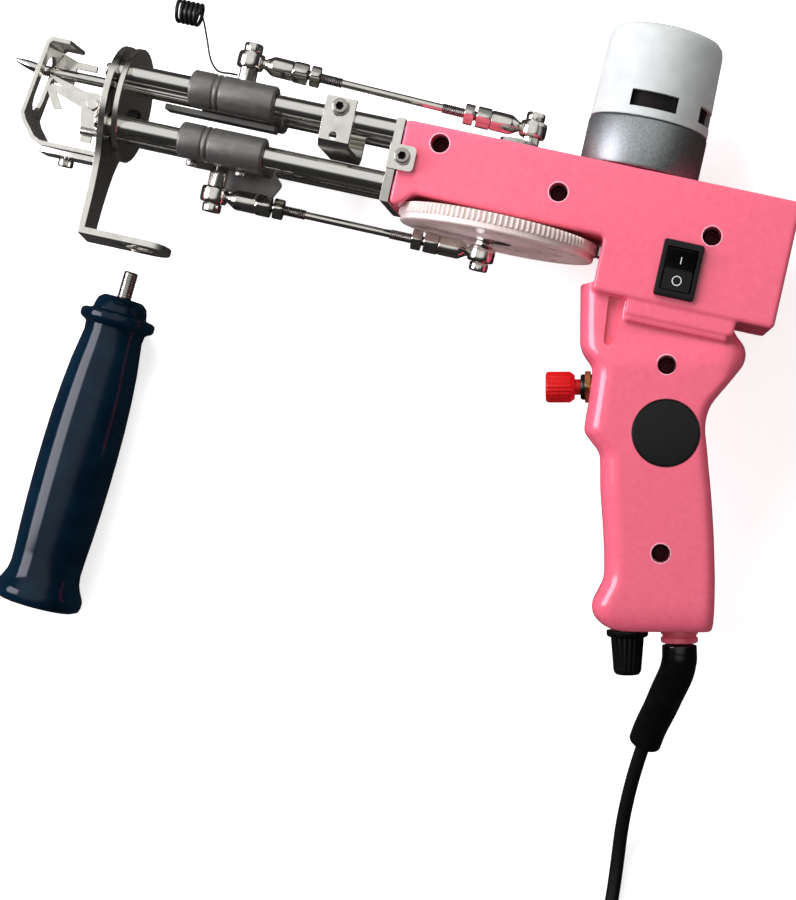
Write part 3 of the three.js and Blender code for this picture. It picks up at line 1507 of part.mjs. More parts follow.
// Rod end: an eye, a neck, a round barrel and a hexagon, along +X from the eye
function rodEnd() {
  const eye = turned(
    [
      [-EYE_HALF_HEIGHT, 0],
      [-EYE_HALF_HEIGHT, EYE_RADIUS - EYE_HALF_HEIGHT / 2],
      [-EYE_HALF_HEIGHT / 2, EYE_RADIUS],
      [EYE_HALF_HEIGHT / 2, EYE_RADIUS],
      [EYE_HALF_HEIGHT, EYE_RADIUS - EYE_HALF_HEIGHT / 2],
      [EYE_HALF_HEIGHT, 0],
    ],
    [0, 0, 0],
    [0, 1, 0],
    MEDIUM,
  );
  const body = turned(
    [
      [0, 0],
      [0, EYE_WAIST / 2],
      [END_NECK - FIT_GAP, EYE_WAIST / 2],
      [END_NECK + FIT_GAP * 2, END_RADIUS],
      [END_BARREL, END_RADIUS],
      [END_BARREL, 0],
    ],
    [EYE_BORE, 0, 0],
    [1, 0, 0],
    SMALL,
  );
  return cut(
    join(
      eye,
      body,
      bar(END_HEX_RADIUS, [END_BARREL, 0, 0], [END_HEX, 0, 0], HEX),
    ),
    bore(EYE_BORE, [0, -EYE_RADIUS, 0], [0, EYE_RADIUS, 0], SMALL),
    bore(LINK_THREAD_RADIUS + RUNNING_GAP, [LINK_SEAT - FIT_GAP, 0, 0], [END_HEX + OVERRUN, 0, 0], SMALL),
  );
}
// The thin rod between two rod ends, threaded at both ends, with a lock nut against each
function linkRod(length) {
  const far = (place) => length - place;
  const nutFrom = END_HEX + FIT_GAP;
  const nutTo = nutFrom + LOCK_NUT_LENGTH;
  return join(
    bar(LINK_RADIUS, [LINK_THREAD_END - OVERRUN, 0, 0], [far(LINK_THREAD_END - OVERRUN), 0, 0], SMALL),
    bar(LINK_THREAD_RADIUS, [LINK_SEAT, 0, 0], [LINK_THREAD_END, 0, 0], SMALL),
    bar(LINK_THREAD_RADIUS, [far(LINK_THREAD_END), 0, 0], [far(LINK_SEAT), 0, 0], SMALL),
    bar(LOCK_NUT_RADIUS, [nutFrom, 0, 0], [nutTo, 0, 0], HEX),
    bar(LOCK_NUT_RADIUS, [far(nutTo), 0, 0], [far(nutFrom), 0, 0], HEX),
  );
}
function connectingRod(name, front, rear, seat, side) {
  const start = new THREE.Vector3(...front);
  const end = new THREE.Vector3(...rear);
  const run = end.clone().sub(start);
  const group = new THREE.Group();
  group.position.copy(start);
  group.quaternion.setFromUnitVectors(new THREE.Vector3(1, 0, 0), run.clone().normalize());
  machine.add(group);
  piece(name + "_rod_front_end", rodEnd(), steel(), group);
  piece(name + "_link_rod", linkRod(run.length()), steel(), group);
  const rearEnd = piece(name + "_rod_rear_end", rodEnd(), steel(), group);
  rearEnd.position.set(run.length(), 0, 0);
  rearEnd.rotation.set(0, Math.PI, 0);
  // The rear pin stays with the rod: the linkage is open between it and the crank
  piece(name + "_rear_pin", pin(rear[0], rear[2], seat, rear[1], side), steel());
}
connectingRod(
  "needle",
  [FRONT_PIN_UPPER_X, FRONT_EYE_UPPER_Y, 0],
  [needlePinX, REAR_EYE_UPPER_Y, needlePinZ],
  crankHigh + FIT_GAP,
  1,
);
connectingRod(
  "cutter",
  [FRONT_PIN_LOWER_X, FRONT_EYE_LOWER_Y, 0],
  [cutterPinX, REAR_EYE_LOWER_Y, cutterPinZ],
  gearBottomY - FIT_GAP,
  -1,
);

// Scissors

const blade = (points) =>
  outline(points.map(([x, y]) => [BLADE_PIVOT_X + x, BLADE_PIVOT_Y + y]));
const bladeRootX = NOSE_FRONT_X - FIT_GAP - BLADE_PIVOT_X;
const fixedBlade = join(
  prism(
    blade([
      [bladeRootX, -BLADE_WIDTH],
      [bladeRootX, BLADE_WIDTH],
      [-BLADE_WIDTH, BLADE_WIDTH],
      [-BLADE_REACH, BLADE_RISE + BLADE_WIDTH / 2],
      [-BLADE_REACH, BLADE_RISE + BLADE_WIDTH / 3],
      [-BLADE_WIDTH, -BLADE_WIDTH / 3],
      [0, -BLADE_WIDTH],
    ]),
    FIXED_BLADE_Z,
    FIXED_BLADE_Z + BLADE_THICKNESS,
  ),
  bar(
    BLADE_PIVOT_RADIUS,
    [BLADE_PIVOT_X, BLADE_PIVOT_Y, FIXED_BLADE_Z + BLADE_THICKNESS / 2],
    [BLADE_PIVOT_X, BLADE_PIVOT_Y, movingBladeZ + BLADE_THICKNESS + FIT_GAP * 2],
    SMALL,
  ),
  bar(
    BLADE_PIVOT_HEAD,
    [BLADE_PIVOT_X, BLADE_PIVOT_Y, movingBladeZ + BLADE_THICKNESS + FIT_GAP],
    [BLADE_PIVOT_X, BLADE_PIVOT_Y, movingBladeZ + BLADE_THICKNESS * 2 + FIT_GAP],
    SMALL,
  ),
);
piece("fixed_blade", fixedBlade, steel());
const movingBlade = cut(
  prism(
    blade([
      [BLADE_WIDTH / 2, -BLADE_TAIL - BLADE_TAIL_HALF * 2],
      [BLADE_WIDTH / 2, BLADE_WIDTH / 2],
      [-BLADE_WIDTH / 2, BLADE_WIDTH * 0.7],
      [-BLADE_REACH + BLADE_TAIL_HALF, BLADE_RISE * 0.75],
      [-BLADE_REACH, BLADE_RISE * 0.45],
      [-BLADE_REACH + BLADE_HOOK * 0.55, -BLADE_HOOK * 0.6],
      [-BLADE_REACH + BLADE_HOOK * 0.95, -BLADE_HOOK * 0.55],
      [-BLADE_REACH + BLADE_HOOK * 0.5, BLADE_RISE * 0.25],
      [-BLADE_WIDTH, -BLADE_WIDTH / 2],
      [-BLADE_TAIL_HALF, -BLADE_TAIL - BLADE_TAIL_HALF * 2],
    ]),
    movingBladeZ,
    movingBladeZ + BLADE_THICKNESS,
  ),
  bore(
    BLADE_PIVOT_RADIUS + RUNNING_GAP,
    [BLADE_PIVOT_X, BLADE_PIVOT_Y, movingBladeZ - OVERRUN],
    [BLADE_PIVOT_X, BLADE_PIVOT_Y, movingBladeZ + BLADE_THICKNESS + OVERRUN],
    SMALL,
  ),
);
piece("moving_blade", movingBlade, steel());
const pushRodFrontX = BLADE_PIVOT_X - BLADE_TAIL_HALF;
const pushRod = bar(
  PUSH_ROD_RADIUS,
  [pushRodFrontX, PUSH_ROD_Y, pushRodZ],
  [pushSeatX, PUSH_ROD_Y, pushRodZ],
  SMALL,
);
piece("cutter_push_rod", pushRod, steel(), cutterCarriage);

// Rocker switch

const pivotZ = switchTop + ROCKER_PIVOT_DEPTH;
const switchHousing = cut(
  join(
    prism(
      rounded(
        rectangle(
          SWITCH_X - BEZEL_WIDTH / 2,
          SWITCH_X + BEZEL_WIDTH / 2,
          SWITCH_Y - BEZEL_HEIGHT / 2,
          SWITCH_Y + BEZEL_HEIGHT / 2,
        ),
        BEZEL_THICKNESS / 2,
      ),
      switchTop,
      switchTop + BEZEL_THICKNESS,
    ),
    box(
      SWITCH_X - SWITCH_BODY_WIDTH / 2,
      SWITCH_X + SWITCH_BODY_WIDTH / 2,
      SWITCH_Y - SWITCH_BODY_HEIGHT / 2,
      SWITCH_Y + SWITCH_BODY_HEIGHT / 2,
      HALF_THICKNESS - SWITCH_BODY_DEPTH,
      switchTop + BEZEL_THICKNESS / 2,
    ),
  ),
  bore(
    ROCKER_SWING_RADIUS,
    [SWITCH_X - ROCKER_WIDTH / 2 - FIT_GAP, SWITCH_Y, pivotZ],
    [SWITCH_X + ROCKER_WIDTH / 2 + FIT_GAP, SWITCH_Y, pivotZ],
    FINE,
  ),
);
piece("switch_housing", switchHousing, blackPlastic());

// The rocker leans on its lower half, which is off
const rockerPoints = [
  [-ROCKER_HALF, ROCKER_CROWN],
  [0, ROCKER_DIP],
  [ROCKER_HALF, ROCKER_CROWN],
];
const keelSteps = 6;
for (let i = 0; i <= keelSteps; i += 1) {
  const angle = (i / keelSteps) * Math.PI;
  rockerPoints.push([ROCKER_HALF * Math.cos(angle), -ROCKER_KEEL * Math.sin(angle)]);
}
const rocker = piece(
  "switch_rocker",
  prism(outline(rockerPoints), -ROCKER_WIDTH / 2, ROCKER_WIDTH / 2, ALONG_X),
  blackPlastic(),
);
rocker.position.set(SWITCH_X, SWITCH_Y, pivotZ);
rocker.rotation.set(ROCKER_TILT, 0, 0);

// Push button

const buttonOut = [-gripAcross[0], -gripAcross[1], 0];
const bushFace = BUSH_PROUD + NUT_THICKNESS + FIT_GAP;
piece(
  "button_bush",
  cut(
    bar(BUSH_RADIUS, buttonPlace(-BUSH_LENGTH + FIT_GAP), buttonPlace(bushFace)),
    bore(STEM_RADIUS + RUNNING_GAP, buttonPlace(-STEM_LENGTH), buttonPlace(bushFace + OVERRUN)),
  ),
  blackPlastic(),
);
piece(
  "button_nut",
  cut(
    bar(
      NUT_RADIUS,
      buttonPlace(BUSH_PROUD - NUT_THICKNESS / 2),
      buttonPlace(BUSH_PROUD + NUT_THICKNESS / 2),
      HEX,
    ),
    bore(BUSH_RADIUS + RUNNING_GAP, buttonPlace(0), buttonPlace(bushFace + OVERRUN)),
  ),
  material(0x9a7a3c, 0.35, 0.8),
);
const capInner = bushFace + BUTTON_TRAVEL + FIT_GAP;
const ribbed = [];
const buttonRibs = 20;
for (let i = 0; i < buttonRibs; i += 1) {
  const angle = (i / buttonRibs) * Math.PI * 2;
  const radius = i % 2 ? BUTTON_RADIUS : BUTTON_RADIUS - FIT_GAP;
  ribbed.push([radius * Math.cos(angle), radius * Math.sin(angle)]);
}
const buttonTurn = new THREE.Matrix4().makeBasis(
  new THREE.Vector3(0, 0, 1),
  new THREE.Vector3(...gripDown).negate(),
  new THREE.Vector3(...buttonOut),
);
buttonTurn.setPosition(...buttonPlace(0));
const buttonSkirt = capInner + BUTTON_CHAMFER;
piece(
  "button_cap",
  join(
    turned(
      [
        [capInner - STEM_LENGTH - OVERRUN, 0],
        [capInner - STEM_LENGTH - OVERRUN, STEM_RADIUS],
        [capInner, STEM_RADIUS],
        [capInner, BUTTON_NECK_RADIUS],
        [buttonSkirt, BUTTON_RADIUS - FIT_GAP],
        [buttonSkirt + BUTTON_CHAMFER, BUTTON_RADIUS - FIT_GAP],
        [buttonSkirt + BUTTON_CHAMFER, 0],
      ],
      buttonPlace(0),
      buttonOut,
      SMALL,
    ),
    prism(outline(ribbed), buttonSkirt, capInner + BUTTON_LENGTH, buttonTurn),
  ),
  material(0xd8232a, 0.35, 0),
);

// Speed control and knob

piece(
  "speed_control",
  join(
    bar(CONTROL_RADIUS, knobPlace(controlTop), knobPlace(-CONTROL_SEAT)),
    bar(CONTROL_BUSH_RADIUS, knobPlace(-CONTROL_SEAT - OVERRUN), knobPlace(0)),
    bar(CONTROL_SHAFT_RADIUS, knobPlace(-CONTROL_SEAT), knobPlace(KNOB_BORE_DEPTH)),
  ),
  steel(),
);
const knobTurn = new THREE.Matrix4().makeBasis(
  new THREE.Vector3(...gripAcross),
  new THREE.Vector3(0, 0, -1),
  new THREE.Vector3(...gripDown),
);
knobTurn.setPosition(...knobPlace(0));
// Ribbed, tapering body as a loft of star outlines, on a plain flange
const knobRing = (down, radius) => {
  const ring = [];
  for (let i = 0; i < KNOB_RIBS * 2; i += 1) {
    const angle = (i / (KNOB_RIBS * 2)) * Math.PI * 2;
    const reach = i % 2 ? radius : radius * KNOB_RIB_DEPTH_SHARE;
    ring.push(
      new THREE.Vector3(reach * Math.cos(angle), reach * Math.sin(angle), down).applyMatrix4(knobTurn),
    );
  }
  return ring;
};
const knobStart = FIT_GAP * 2;
piece(
  "speed_knob",
  cut(
    join(
      turned(
        [
          [knobStart, 0],
          [knobStart, KNOB_FLANGE_RADIUS],
          [knobStart + KNOB_FLANGE_THICKNESS * 0.7, KNOB_FLANGE_RADIUS],
          [knobStart + KNOB_FLANGE_THICKNESS, KNOB_BASE_RADIUS],
          [knobStart + KNOB_FLANGE_THICKNESS, 0],
        ],
        knobPlace(0),
        gripDown,
      ),
      loft([
        knobRing(knobStart + KNOB_FLANGE_THICKNESS / 2, KNOB_BASE_RADIUS),
        knobRing(KNOB_LENGTH - OVERRUN, KNOB_TOP_RADIUS + FIT_GAP),
        knobRing(KNOB_LENGTH, KNOB_TOP_RADIUS - FIT_GAP),
      ]),
    ),
    bore(CONTROL_SHAFT_RADIUS + RUNNING_GAP, knobPlace(-OVERRUN), knobPlace(KNOB_BORE_DEPTH + FIT_GAP)),
  ),
  blackPlastic(),
);

// Badge, collar, sleeve

const badgeSeatZ = badgeLevel - BADGE_THICKNESS + FIT_GAP;
piece(
  "badge_disc",
  bar(BADGE_RADIUS, [BADGE_X, BADGE_Y, badgeSeatZ], [BADGE_X, BADGE_Y, badgeSeatZ + BADGE_THICKNESS], FINE),
  blackPlastic(),
);
const collarProfile = [
  [collarStart, 0],
  [collarStart, COLLAR_RADIUS],
];
const collarShown = GRIP_LENGTH - COLLAR_RADIUS / 2;
const ribStep = (collarEnd - collarShown) / (COLLAR_RIBS * 2 + 1);
for (let i = 0; i < COLLAR_RIBS; i += 1) {
  const place = collarShown + ribStep * (i * 2 + 1);
  collarProfile.push(
    [place, COLLAR_RADIUS],
    [place, COLLAR_RADIUS - COLLAR_RIB_DEPTH],
    [place + ribStep, COLLAR_RADIUS - COLLAR_RIB_DEPTH],
    [place + ribStep, COLLAR_RADIUS],
  );
}
collarProfile.push([collarEnd, COLLAR_RADIUS], [collarEnd, 0]);
piece("cord_collar", turned(collarProfile, gripPoint(0, COLLAR_ACROSS), gripDown), pinkPlastic());
piece("cord_sleeve", tube(sleeveRoute, SLEEVE_RADIUS, SMALL, SLEEVE_STEPS), blackPlastic());

// Cord, coil and plug

piece("cord", tube(cordRoute, CORD_RADIUS, CORD_SIDES, CORD_STEPS), blackPlastic());

// The coil spirals in on the table, climbs a layer and spirals out again
const cordEnd = cordRoute[cordRoute.length - 1];
const cordZ = cordEnd[2];
const coilX = cordEnd[0] - COIL_OUTER;
const coilY = cordEnd[1] - COIL_LEAD;
const coilTurns = COIL_TURNS_IN + COIL_TURNS_OUT;
const coilInner = COIL_OUTER - COIL_PITCH * COIL_TURNS_IN;
const smooth = (share) => THREE.MathUtils.smootherstep(share, 0, 1);
const coilLine = [
  [coilX + COIL_OUTER, coilY + CORD_RADIUS * 2, cordZ],
  [coilX + COIL_OUTER, coilY + CORD_RADIUS, cordZ],
];
const coilCount = Math.round(coilTurns * COIL_STEPS);
for (let i = 0; i <= coilCount; i += 1) {
  const turn = i / COIL_STEPS;
  const angle = turn * Math.PI * 2;
  const radius = coilInner + COIL_PITCH * Math.abs(turn - COIL_TURNS_IN);
  const climb = smooth((turn - COIL_TURNS_IN + 0.25) / 0.5);
  coilLine.push([
    coilX + radius * Math.cos(angle),
    coilY - radius * Math.sin(angle),
    cordZ + COIL_RISE * climb,
  ]);
}
const coilEnd = coilLine[coilLine.length - 1];
const plugZ = TABLE_Z + PLUG_RADIUS;
const tailSteps = 8;
for (let i = 1; i <= tailSteps; i += 1) {
  const along = (i / tailSteps) * COIL_TAIL;
  const fall = smooth((along - COIL_TAIL_LEVEL) / COIL_TAIL_DROP);
  coilLine.push([
    coilEnd[0] - along,
    coilEnd[1],
    THREE.MathUtils.lerp(coilEnd[2], plugZ, fall),
  ]);
}
const coilTubeSteps = coilCount + tailSteps * 2 + 2;
piece("cord_coil", tube(coilLine, CORD_RADIUS, COIL_SIDES, coilTubeSteps), blackPlastic());
const cordGap = leastGap(coilLine, CORD_RADIUS, COIL_STEPS / 3);
const guideGap = leastGap(guideCoil, WIRE_RADIUS, GUIDE_STEPS_PER_TURN / 2);
console.log("least gap of the coiled cord", cordGap.toFixed(2));
console.log("least gap of the yarn guide", guideGap.toFixed(2));

const plugX = coilEnd[0] - COIL_TAIL - FIT_GAP;
piece(
  "power_plug",
  cut(
    turned(
      [
        [0, 0],
        [0, PLUG_NECK_RADIUS],
        [PLUG_NECK_LENGTH, PLUG_NECK_RADIUS],
        [PLUG_NECK_LENGTH + PLUG_NECK_RADIUS / 2, PLUG_RADIUS],
        [PLUG_LENGTH, PLUG_RADIUS],
        [PLUG_LENGTH, PLUG_TIP_RADIUS],
        [PLUG_LENGTH + PLUG_TIP_LENGTH, PLUG_TIP_RADIUS],
        [PLUG_LENGTH + PLUG_TIP_LENGTH, 0],
      ],
      [plugX, coilEnd[1], plugZ],
      [-1, 0, 0],
    ),
    bore(
      PLUG_TIP_BORE,
      [plugX - PLUG_LENGTH, coilEnd[1], plugZ],
      [plugX - PLUG_LENGTH - PLUG_TIP_LENGTH - OVERRUN, coilEnd[1], plugZ],
      SMALL,
    ),
  ),
  blackPlastic(),
);

// Side handle

const flangeRadius = handleShares[HANDLE_FLANGE_ROW][1] * HANDLE_RADIUS;
const touchRun = handleShares[HANDLE_FLARE_ROW][0] * HANDLE_LENGTH;
const handleLean = Math.atan((HANDLE_RADIUS - flangeRadius) / touchRun);
const handle = new THREE.Group();
handle.position.set(HANDLE_X, HANDLE_Y, TABLE_Z + flangeRadius * Math.cos(handleLean));
handle.rotation.set(-handleLean, 0, HANDLE_TURN, "ZXY");
machine.add(handle);
const studBore = HANDLE_STUD_RADIUS + RUNNING_GAP;
const shoulder = -handleShares[0][0] * HANDLE_LENGTH;
piece(
  "handle_grip",
  cut(
    turned(
      handleShares.map(([placeShare, radiusShare]) => [
        placeShare * HANDLE_LENGTH,
        radiusShare * HANDLE_RADIUS,
      ]),
      [0, 0, 0],
      [0, -1, 0],
      HANDLE_SIDES,
    ),
    bore(studBore, [0, shoulder - HANDLE_STUD_SEAT - FIT_GAP, 0], [0, shoulder + OVERRUN, 0]),
  ),
  material(0x10182e, 0.2, 0),
  handle,
);
piece(
  "handle_stud",
  turned(
    [
      [-HANDLE_STUD_SEAT, 0],
      [-HANDLE_STUD_SEAT, HANDLE_STUD_RADIUS],
      [HANDLE_STUD_OUT * 0.55, HANDLE_STUD_RADIUS],
      [HANDLE_STUD_OUT * 0.55, HANDLE_STUD_RADIUS - HANDLE_STUD_GROOVE],
      [HANDLE_STUD_OUT * 0.7, HANDLE_STUD_RADIUS - HANDLE_STUD_GROOVE],
      [HANDLE_STUD_OUT * 0.7, HANDLE_STUD_RADIUS],
      [HANDLE_STUD_OUT - HANDLE_STUD_GROOVE, HANDLE_STUD_RADIUS],
      [HANDLE_STUD_OUT, HANDLE_STUD_RADIUS - HANDLE_STUD_GROOVE],
      [HANDLE_STUD_OUT, 0],
    ],
    [0, shoulder, 0],
    [0, 1, 0],
  ),
  steel(),
  handle,
);

const tuftingMachine = new THREE.Group();
tuftingMachine.add(machine);

export default tuftingMachine;
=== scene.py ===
import json
import math
import bmesh
import bpy
import numpy as np
from mathutils import Matrix, Vector


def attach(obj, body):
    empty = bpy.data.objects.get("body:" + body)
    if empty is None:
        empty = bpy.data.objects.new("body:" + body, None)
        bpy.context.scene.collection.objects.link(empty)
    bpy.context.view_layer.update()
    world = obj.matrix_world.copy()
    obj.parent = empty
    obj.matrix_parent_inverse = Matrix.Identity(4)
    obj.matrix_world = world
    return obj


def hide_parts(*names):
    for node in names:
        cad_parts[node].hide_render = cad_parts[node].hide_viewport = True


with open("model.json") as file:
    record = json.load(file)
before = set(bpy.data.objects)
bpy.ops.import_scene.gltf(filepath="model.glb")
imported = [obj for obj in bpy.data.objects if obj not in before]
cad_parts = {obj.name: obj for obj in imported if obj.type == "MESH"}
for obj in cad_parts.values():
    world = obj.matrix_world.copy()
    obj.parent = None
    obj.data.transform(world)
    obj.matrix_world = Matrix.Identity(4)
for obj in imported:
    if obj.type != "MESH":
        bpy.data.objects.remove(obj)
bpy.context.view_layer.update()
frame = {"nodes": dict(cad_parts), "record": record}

# Camera: it looks almost straight down on the machine, turned so that the barrel slopes
# down to the right. The lens axis meets the picture a little right of its middle.
LENS_PIXELS, PICTURE_WIDTH, PICTURE_HEIGHT = 1863, 796, 900
AXIS_PIXEL = (470, 466)
SENSOR = 36.0
CAMERA_PLACE = Vector((0.1049, -0.0307, 0.7469))
CAMERA_RIGHT = Vector((0.97305, 0.21752, -0.07649))
CAMERA_UP = Vector((-0.21818, 0.97591, -0.00025))


def placed(name, data):
    """A new object of a mesh, a lamp or a camera, put into the scene at the origin."""
    made = bpy.data.objects.new(name, data)
    bpy.context.scene.collection.objects.link(made)
    return made


camera_data = bpy.data.cameras.new("camera")
camera_data.sensor_width = SENSOR
camera_data.lens = LENS_PIXELS * SENSOR / PICTURE_HEIGHT
camera_data.shift_x = (PICTURE_WIDTH / 2 - AXIS_PIXEL[0]) / PICTURE_HEIGHT
camera_data.shift_y = (AXIS_PIXEL[1] - PICTURE_HEIGHT / 2) / PICTURE_HEIGHT
camera = placed("camera", camera_data)
camera_back = CAMERA_RIGHT.cross(CAMERA_UP).normalized()
camera_axes = Matrix((CAMERA_RIGHT, CAMERA_UP, camera_back)).transposed().to_4x4()
camera.matrix_world = Matrix.Translation(CAMERA_PLACE) @ camera_axes
bpy.context.scene.camera = camera
bpy.context.scene.view_settings.view_transform = "Standard"

# Studio light: an even, dim light fills everything, and bright metal mirrors a dark room with
# a pale ceiling. One near lamp stands over the front of the barrel, and a wide low one on the
# left draws the pale lines along the edges.
BRIGHT_SIDE = Vector((-0.12, 0.42, 0.9)).normalized()
ROOM_STRENGTH, FILL_STRENGTH = 0.95, 0.33
WHITE = (1, 1, 1, 1)


def add(tree, kind, inputs=(), **settings):
    """Adds one shader node with its settings. Each socket named in inputs gets a plain value,
    another node's output, or the first output of another node."""
    made = tree.nodes.new("ShaderNode" + kind)
    for field, value in settings.items():
        setattr(made, field, value)
    for socket, value in dict(inputs).items():
        if isinstance(value, bpy.types.Node):
            value = value.outputs[0]
        if isinstance(value, bpy.types.NodeSocket):
            tree.links.new(value, made.inputs[socket])
        else:
            made.inputs[socket].default_value = value
    return made


world = bpy.data.worlds.new("studio")
bpy.context.scene.world = world
world.use_nodes = True
sky = world.node_tree
sky.nodes.clear()
sky_ray = add(sky, "LightPath").outputs
sky_where = add(sky, "TexCoord").outputs["Generated"]
sky_height = add(sky, "VectorMath", {0: sky_where, 1: BRIGHT_SIDE}, operation="DOT_PRODUCT")
sky_ramp = add(sky, "ValToRGB", {0: sky_height.outputs["Value"]})
room_levels = sky_ramp.color_ramp.elements
room_levels[0].color = (0.03, 0.03, 0.03, 1)
room_levels[-1].color = WHITE
for place, level in ((0.5, 0.04), (0.66, 0.14), (0.78, 0.8), (0.87, 1.0)):
    room_levels.new(place).color = (level, level, level, 1)
sky_shown = add(sky, "Background", {0: sky_ramp, 1: ROOM_STRENGTH})
sky_fill = add(sky, "Background", {0: WHITE, 1: FILL_STRENGTH})
sky_white = add(sky, "Background", {0: WHITE, 1: 1.0})
sky_light = add(sky, "MixShader", {0: sky_ray["Is Glossy Ray"], 1: sky_fill, 2: sky_shown})
sky_mix = add(sky, "MixShader", {0: sky_ray["Is Camera Ray"], 1: sky_light, 2: sky_white})
add(sky, "OutputWorld", {0: sky_mix})


def lamp(name, place, aim, size, power, colour, mirrored):
    """A square soft lamp at a place, turned to face a point. Mirrored is whether gloss shows
    it."""
    data = bpy.data.lights.new(name, "AREA")
    data.shape = "SQUARE"
    data.size = size
    data.energy = power
    data.color = colour
    made = placed(name, data)
    made.location = place
    made.rotation_euler = (Vector(aim) - Vector(place)).to_track_quat("-Z", "Y").to_euler()
    made.visible_glossy = mirrored


lamp("lamp_near", (-0.1, 0.30, 0.32), (0.09, 0.04, 0.05), 0.2, 1.5, (1, 1, 1), False)
lamp("lamp_low", (-0.66, 0.02, 0.42), (0.06, 0, 0.04), 0.42, 6.0, (0.93, 0.9, 1.0), True)

# Floor: a wide white sheet of paper that runs out of the picture. It shows white to the eye
# and keeps the soft shadow under the machine, while bright metal shows it dark.
FLOOR_HALF, FLOOR_GLOW = 6.0, 0.68


def paint(hex_value):
    """An sRGB hex colour as linear red, green, blue and alpha."""
    parts = [int(hex_value[i : i + 2], 16) / 255 for i in (1, 3, 5)]
    return (*(c / 12.92 if c <= 0.04045 else ((c + 0.055) / 1.055) ** 2.4 for c in parts), 1.0)


def blank(name):
    """A new material with no node in it yet, and its node tree."""
    made = bpy.data.materials.new(name)
    made.use_nodes = True
    made.node_tree.nodes.clear()
    return made, made.node_tree


floor_mesh = bpy.data.meshes.new("floor")
floor_corners = np.array([(-1, -1, 0), (1, -1, 0), (1, 1, 0), (-1, 1, 0)]) * FLOOR_HALF
floor_mesh.from_pydata(floor_corners.tolist(), [], [(0, 1, 2, 3)])
floor = placed("floor", floor_mesh)
floor_paper, paper = blank("white_paper")
paper_ray = add(paper, "LightPath").outputs
paper_body = add(paper, "BsdfDiffuse", {"Color": paint("#f6f6f6")})
paper_seen = add(
    paper, "Math", {0: paper_ray["Is Camera Ray"], 1: FLOOR_GLOW}, operation="MULTIPLY"
)
paper_glow = add(paper, "Emission", {"Color": WHITE, "Strength": paper_seen})
paper_sum = add(paper, "AddShader", {0: paper_body, 1: paper_glow})
paper_dark = add(paper, "BsdfDiffuse", {"Color": paint("#3a3836")})
paper_mix = add(paper, "MixShader", {0: paper_ray["Is Glossy Ray"], 1: paper_sum, 2: paper_dark})
add(paper, "OutputMaterial", {0: paper_mix})
floor_mesh.materials.append(floor_paper)

# Power cord: a round lead of 5.4 mm in soft black PVC. It leaves the sleeve, sinks to the
# table, runs out of the picture and is wound there in a flat coil of two layers.
MACHINE = np.array([42.92, 64.51, 38.55])
TABLE = -MACHINE[2]
SAME_CORNER, SHARP_ANGLE = 2e-7, 0.52
SPOT_LOW, SPOT_HIGH = 0.2, 0.8


def metres(points):
    """Points of the machine's own frame in millimetres, as metres of the shared frame."""
    return (np.asarray(points, float) + MACHINE) / 1000


def around(count):
    """Equal angles round a circle, as many as asked."""
    return np.arange(count) / count * 2 * math.pi


def smooth_line(points, count):
    """A smooth line: each span is a cubic that leaves and meets its ends along the chord
    between their neighbours. It is then cut into equal lengths."""
    p = np.asarray(points, float)
    p = np.vstack([2 * p[0] - p[1], p, 2 * p[-1] - p[-2]])
    t = np.linspace(0, 1, 12, endpoint=False)[None, :, None]
    a, b, c, d = (p[i : len(p) - 3 + i, None, :] for i in range(4))
    bend = (2 * a - 5 * b + 4 * c - d) * t**2 + (3 * b - a - 3 * c + d) * t**3
    fine = 0.5 * (2 * b + (c - a) * t + bend)
    fine = np.vstack([fine.reshape(-1, p.shape[1]), p[-2]])
    run = np.concatenate([[0], np.cumsum(np.linalg.norm(np.diff(fine, axis=0), axis=1))])
    wanted = np.linspace(0, run[-1], count)
    return np.stack([np.interp(wanted, run, fine[:, k]) for k in range(fine.shape[1])], 1)


def skin(rings, closed=False):
    """Corners and faces over rings of points. Each ring joins the next, and an end gets one
    face unless the last ring joins the first."""
    rows, columns = rings.shape[:2]
    index = np.arange(rows * columns).reshape(rows, columns)
    ends = [] if closed else [index[0][::-1].tolist(), index[-1].tolist()]
    if closed:
        index = np.vstack([index, index[:1]])
    on = np.roll(index, -1, 1)
    quads = np.stack([index[:-1], on[:-1], on[1:], index[1:]], -1).reshape(-1, 4)
    return rings.reshape(-1, 3), quads.tolist() + ends


def tube(path, radius, sides=16, across=(0, 0, 1)):
    """A round tube: circles about each point of the path, square to the path's direction."""
    path = np.asarray(path, float)
    along = np.gradient(path, axis=0)
    along /= np.linalg.norm(along, axis=1)[:, None]
    first = np.cross(along, across)
    first /= np.linalg.norm(first, axis=1)[:, None]
    second = np.cross(along, first)
    angle = around(sides)[None, :, None]
    circle = np.cos(angle) * first[:, None] + np.sin(angle) * second[:, None]
    return skin(path[:, None] + radius * circle)


def joined(name, parts):
    """One mesh of closed parts, each of which is its corners in millimetres and its faces."""
    mesh = bpy.data.meshes.new(name)
    corners, faces, start = [], [], 0
    for points, part_faces in parts:
        corners.append(metres(points))
        faces += [[i + start for i in face] for face in part_faces]
        start += len(points)
    mesh.from_pydata(np.concatenate(corners).tolist(), [], faces)
    return mesh


def cleaned(mesh, soften=0.0):
    """The same mesh, its doubled corners merged and its faces turned out. Edges sharper than
    30 degrees are broken by soften millimetres."""
    work = bmesh.new()
    work.from_mesh(mesh)
    bmesh.ops.remove_doubles(work, verts=work.verts, dist=SAME_CORNER)
    bmesh.ops.recalc_face_normals(work, faces=work.faces)
    if soften:
        inner = [edge for edge in work.edges if len(edge.link_faces) == 2]
        bmesh.ops.bevel(
            work,
            geom=[edge for edge in inner if edge.calc_face_angle(0) > SHARP_ANGLE],
            offset=soften / 1000,
            offset_type="OFFSET",
            segments=2,
            profile=0.5,
            affect="EDGES",
            clamp_overlap=True,
        )
    work.to_mesh(mesh)
    work.free()
    return mesh


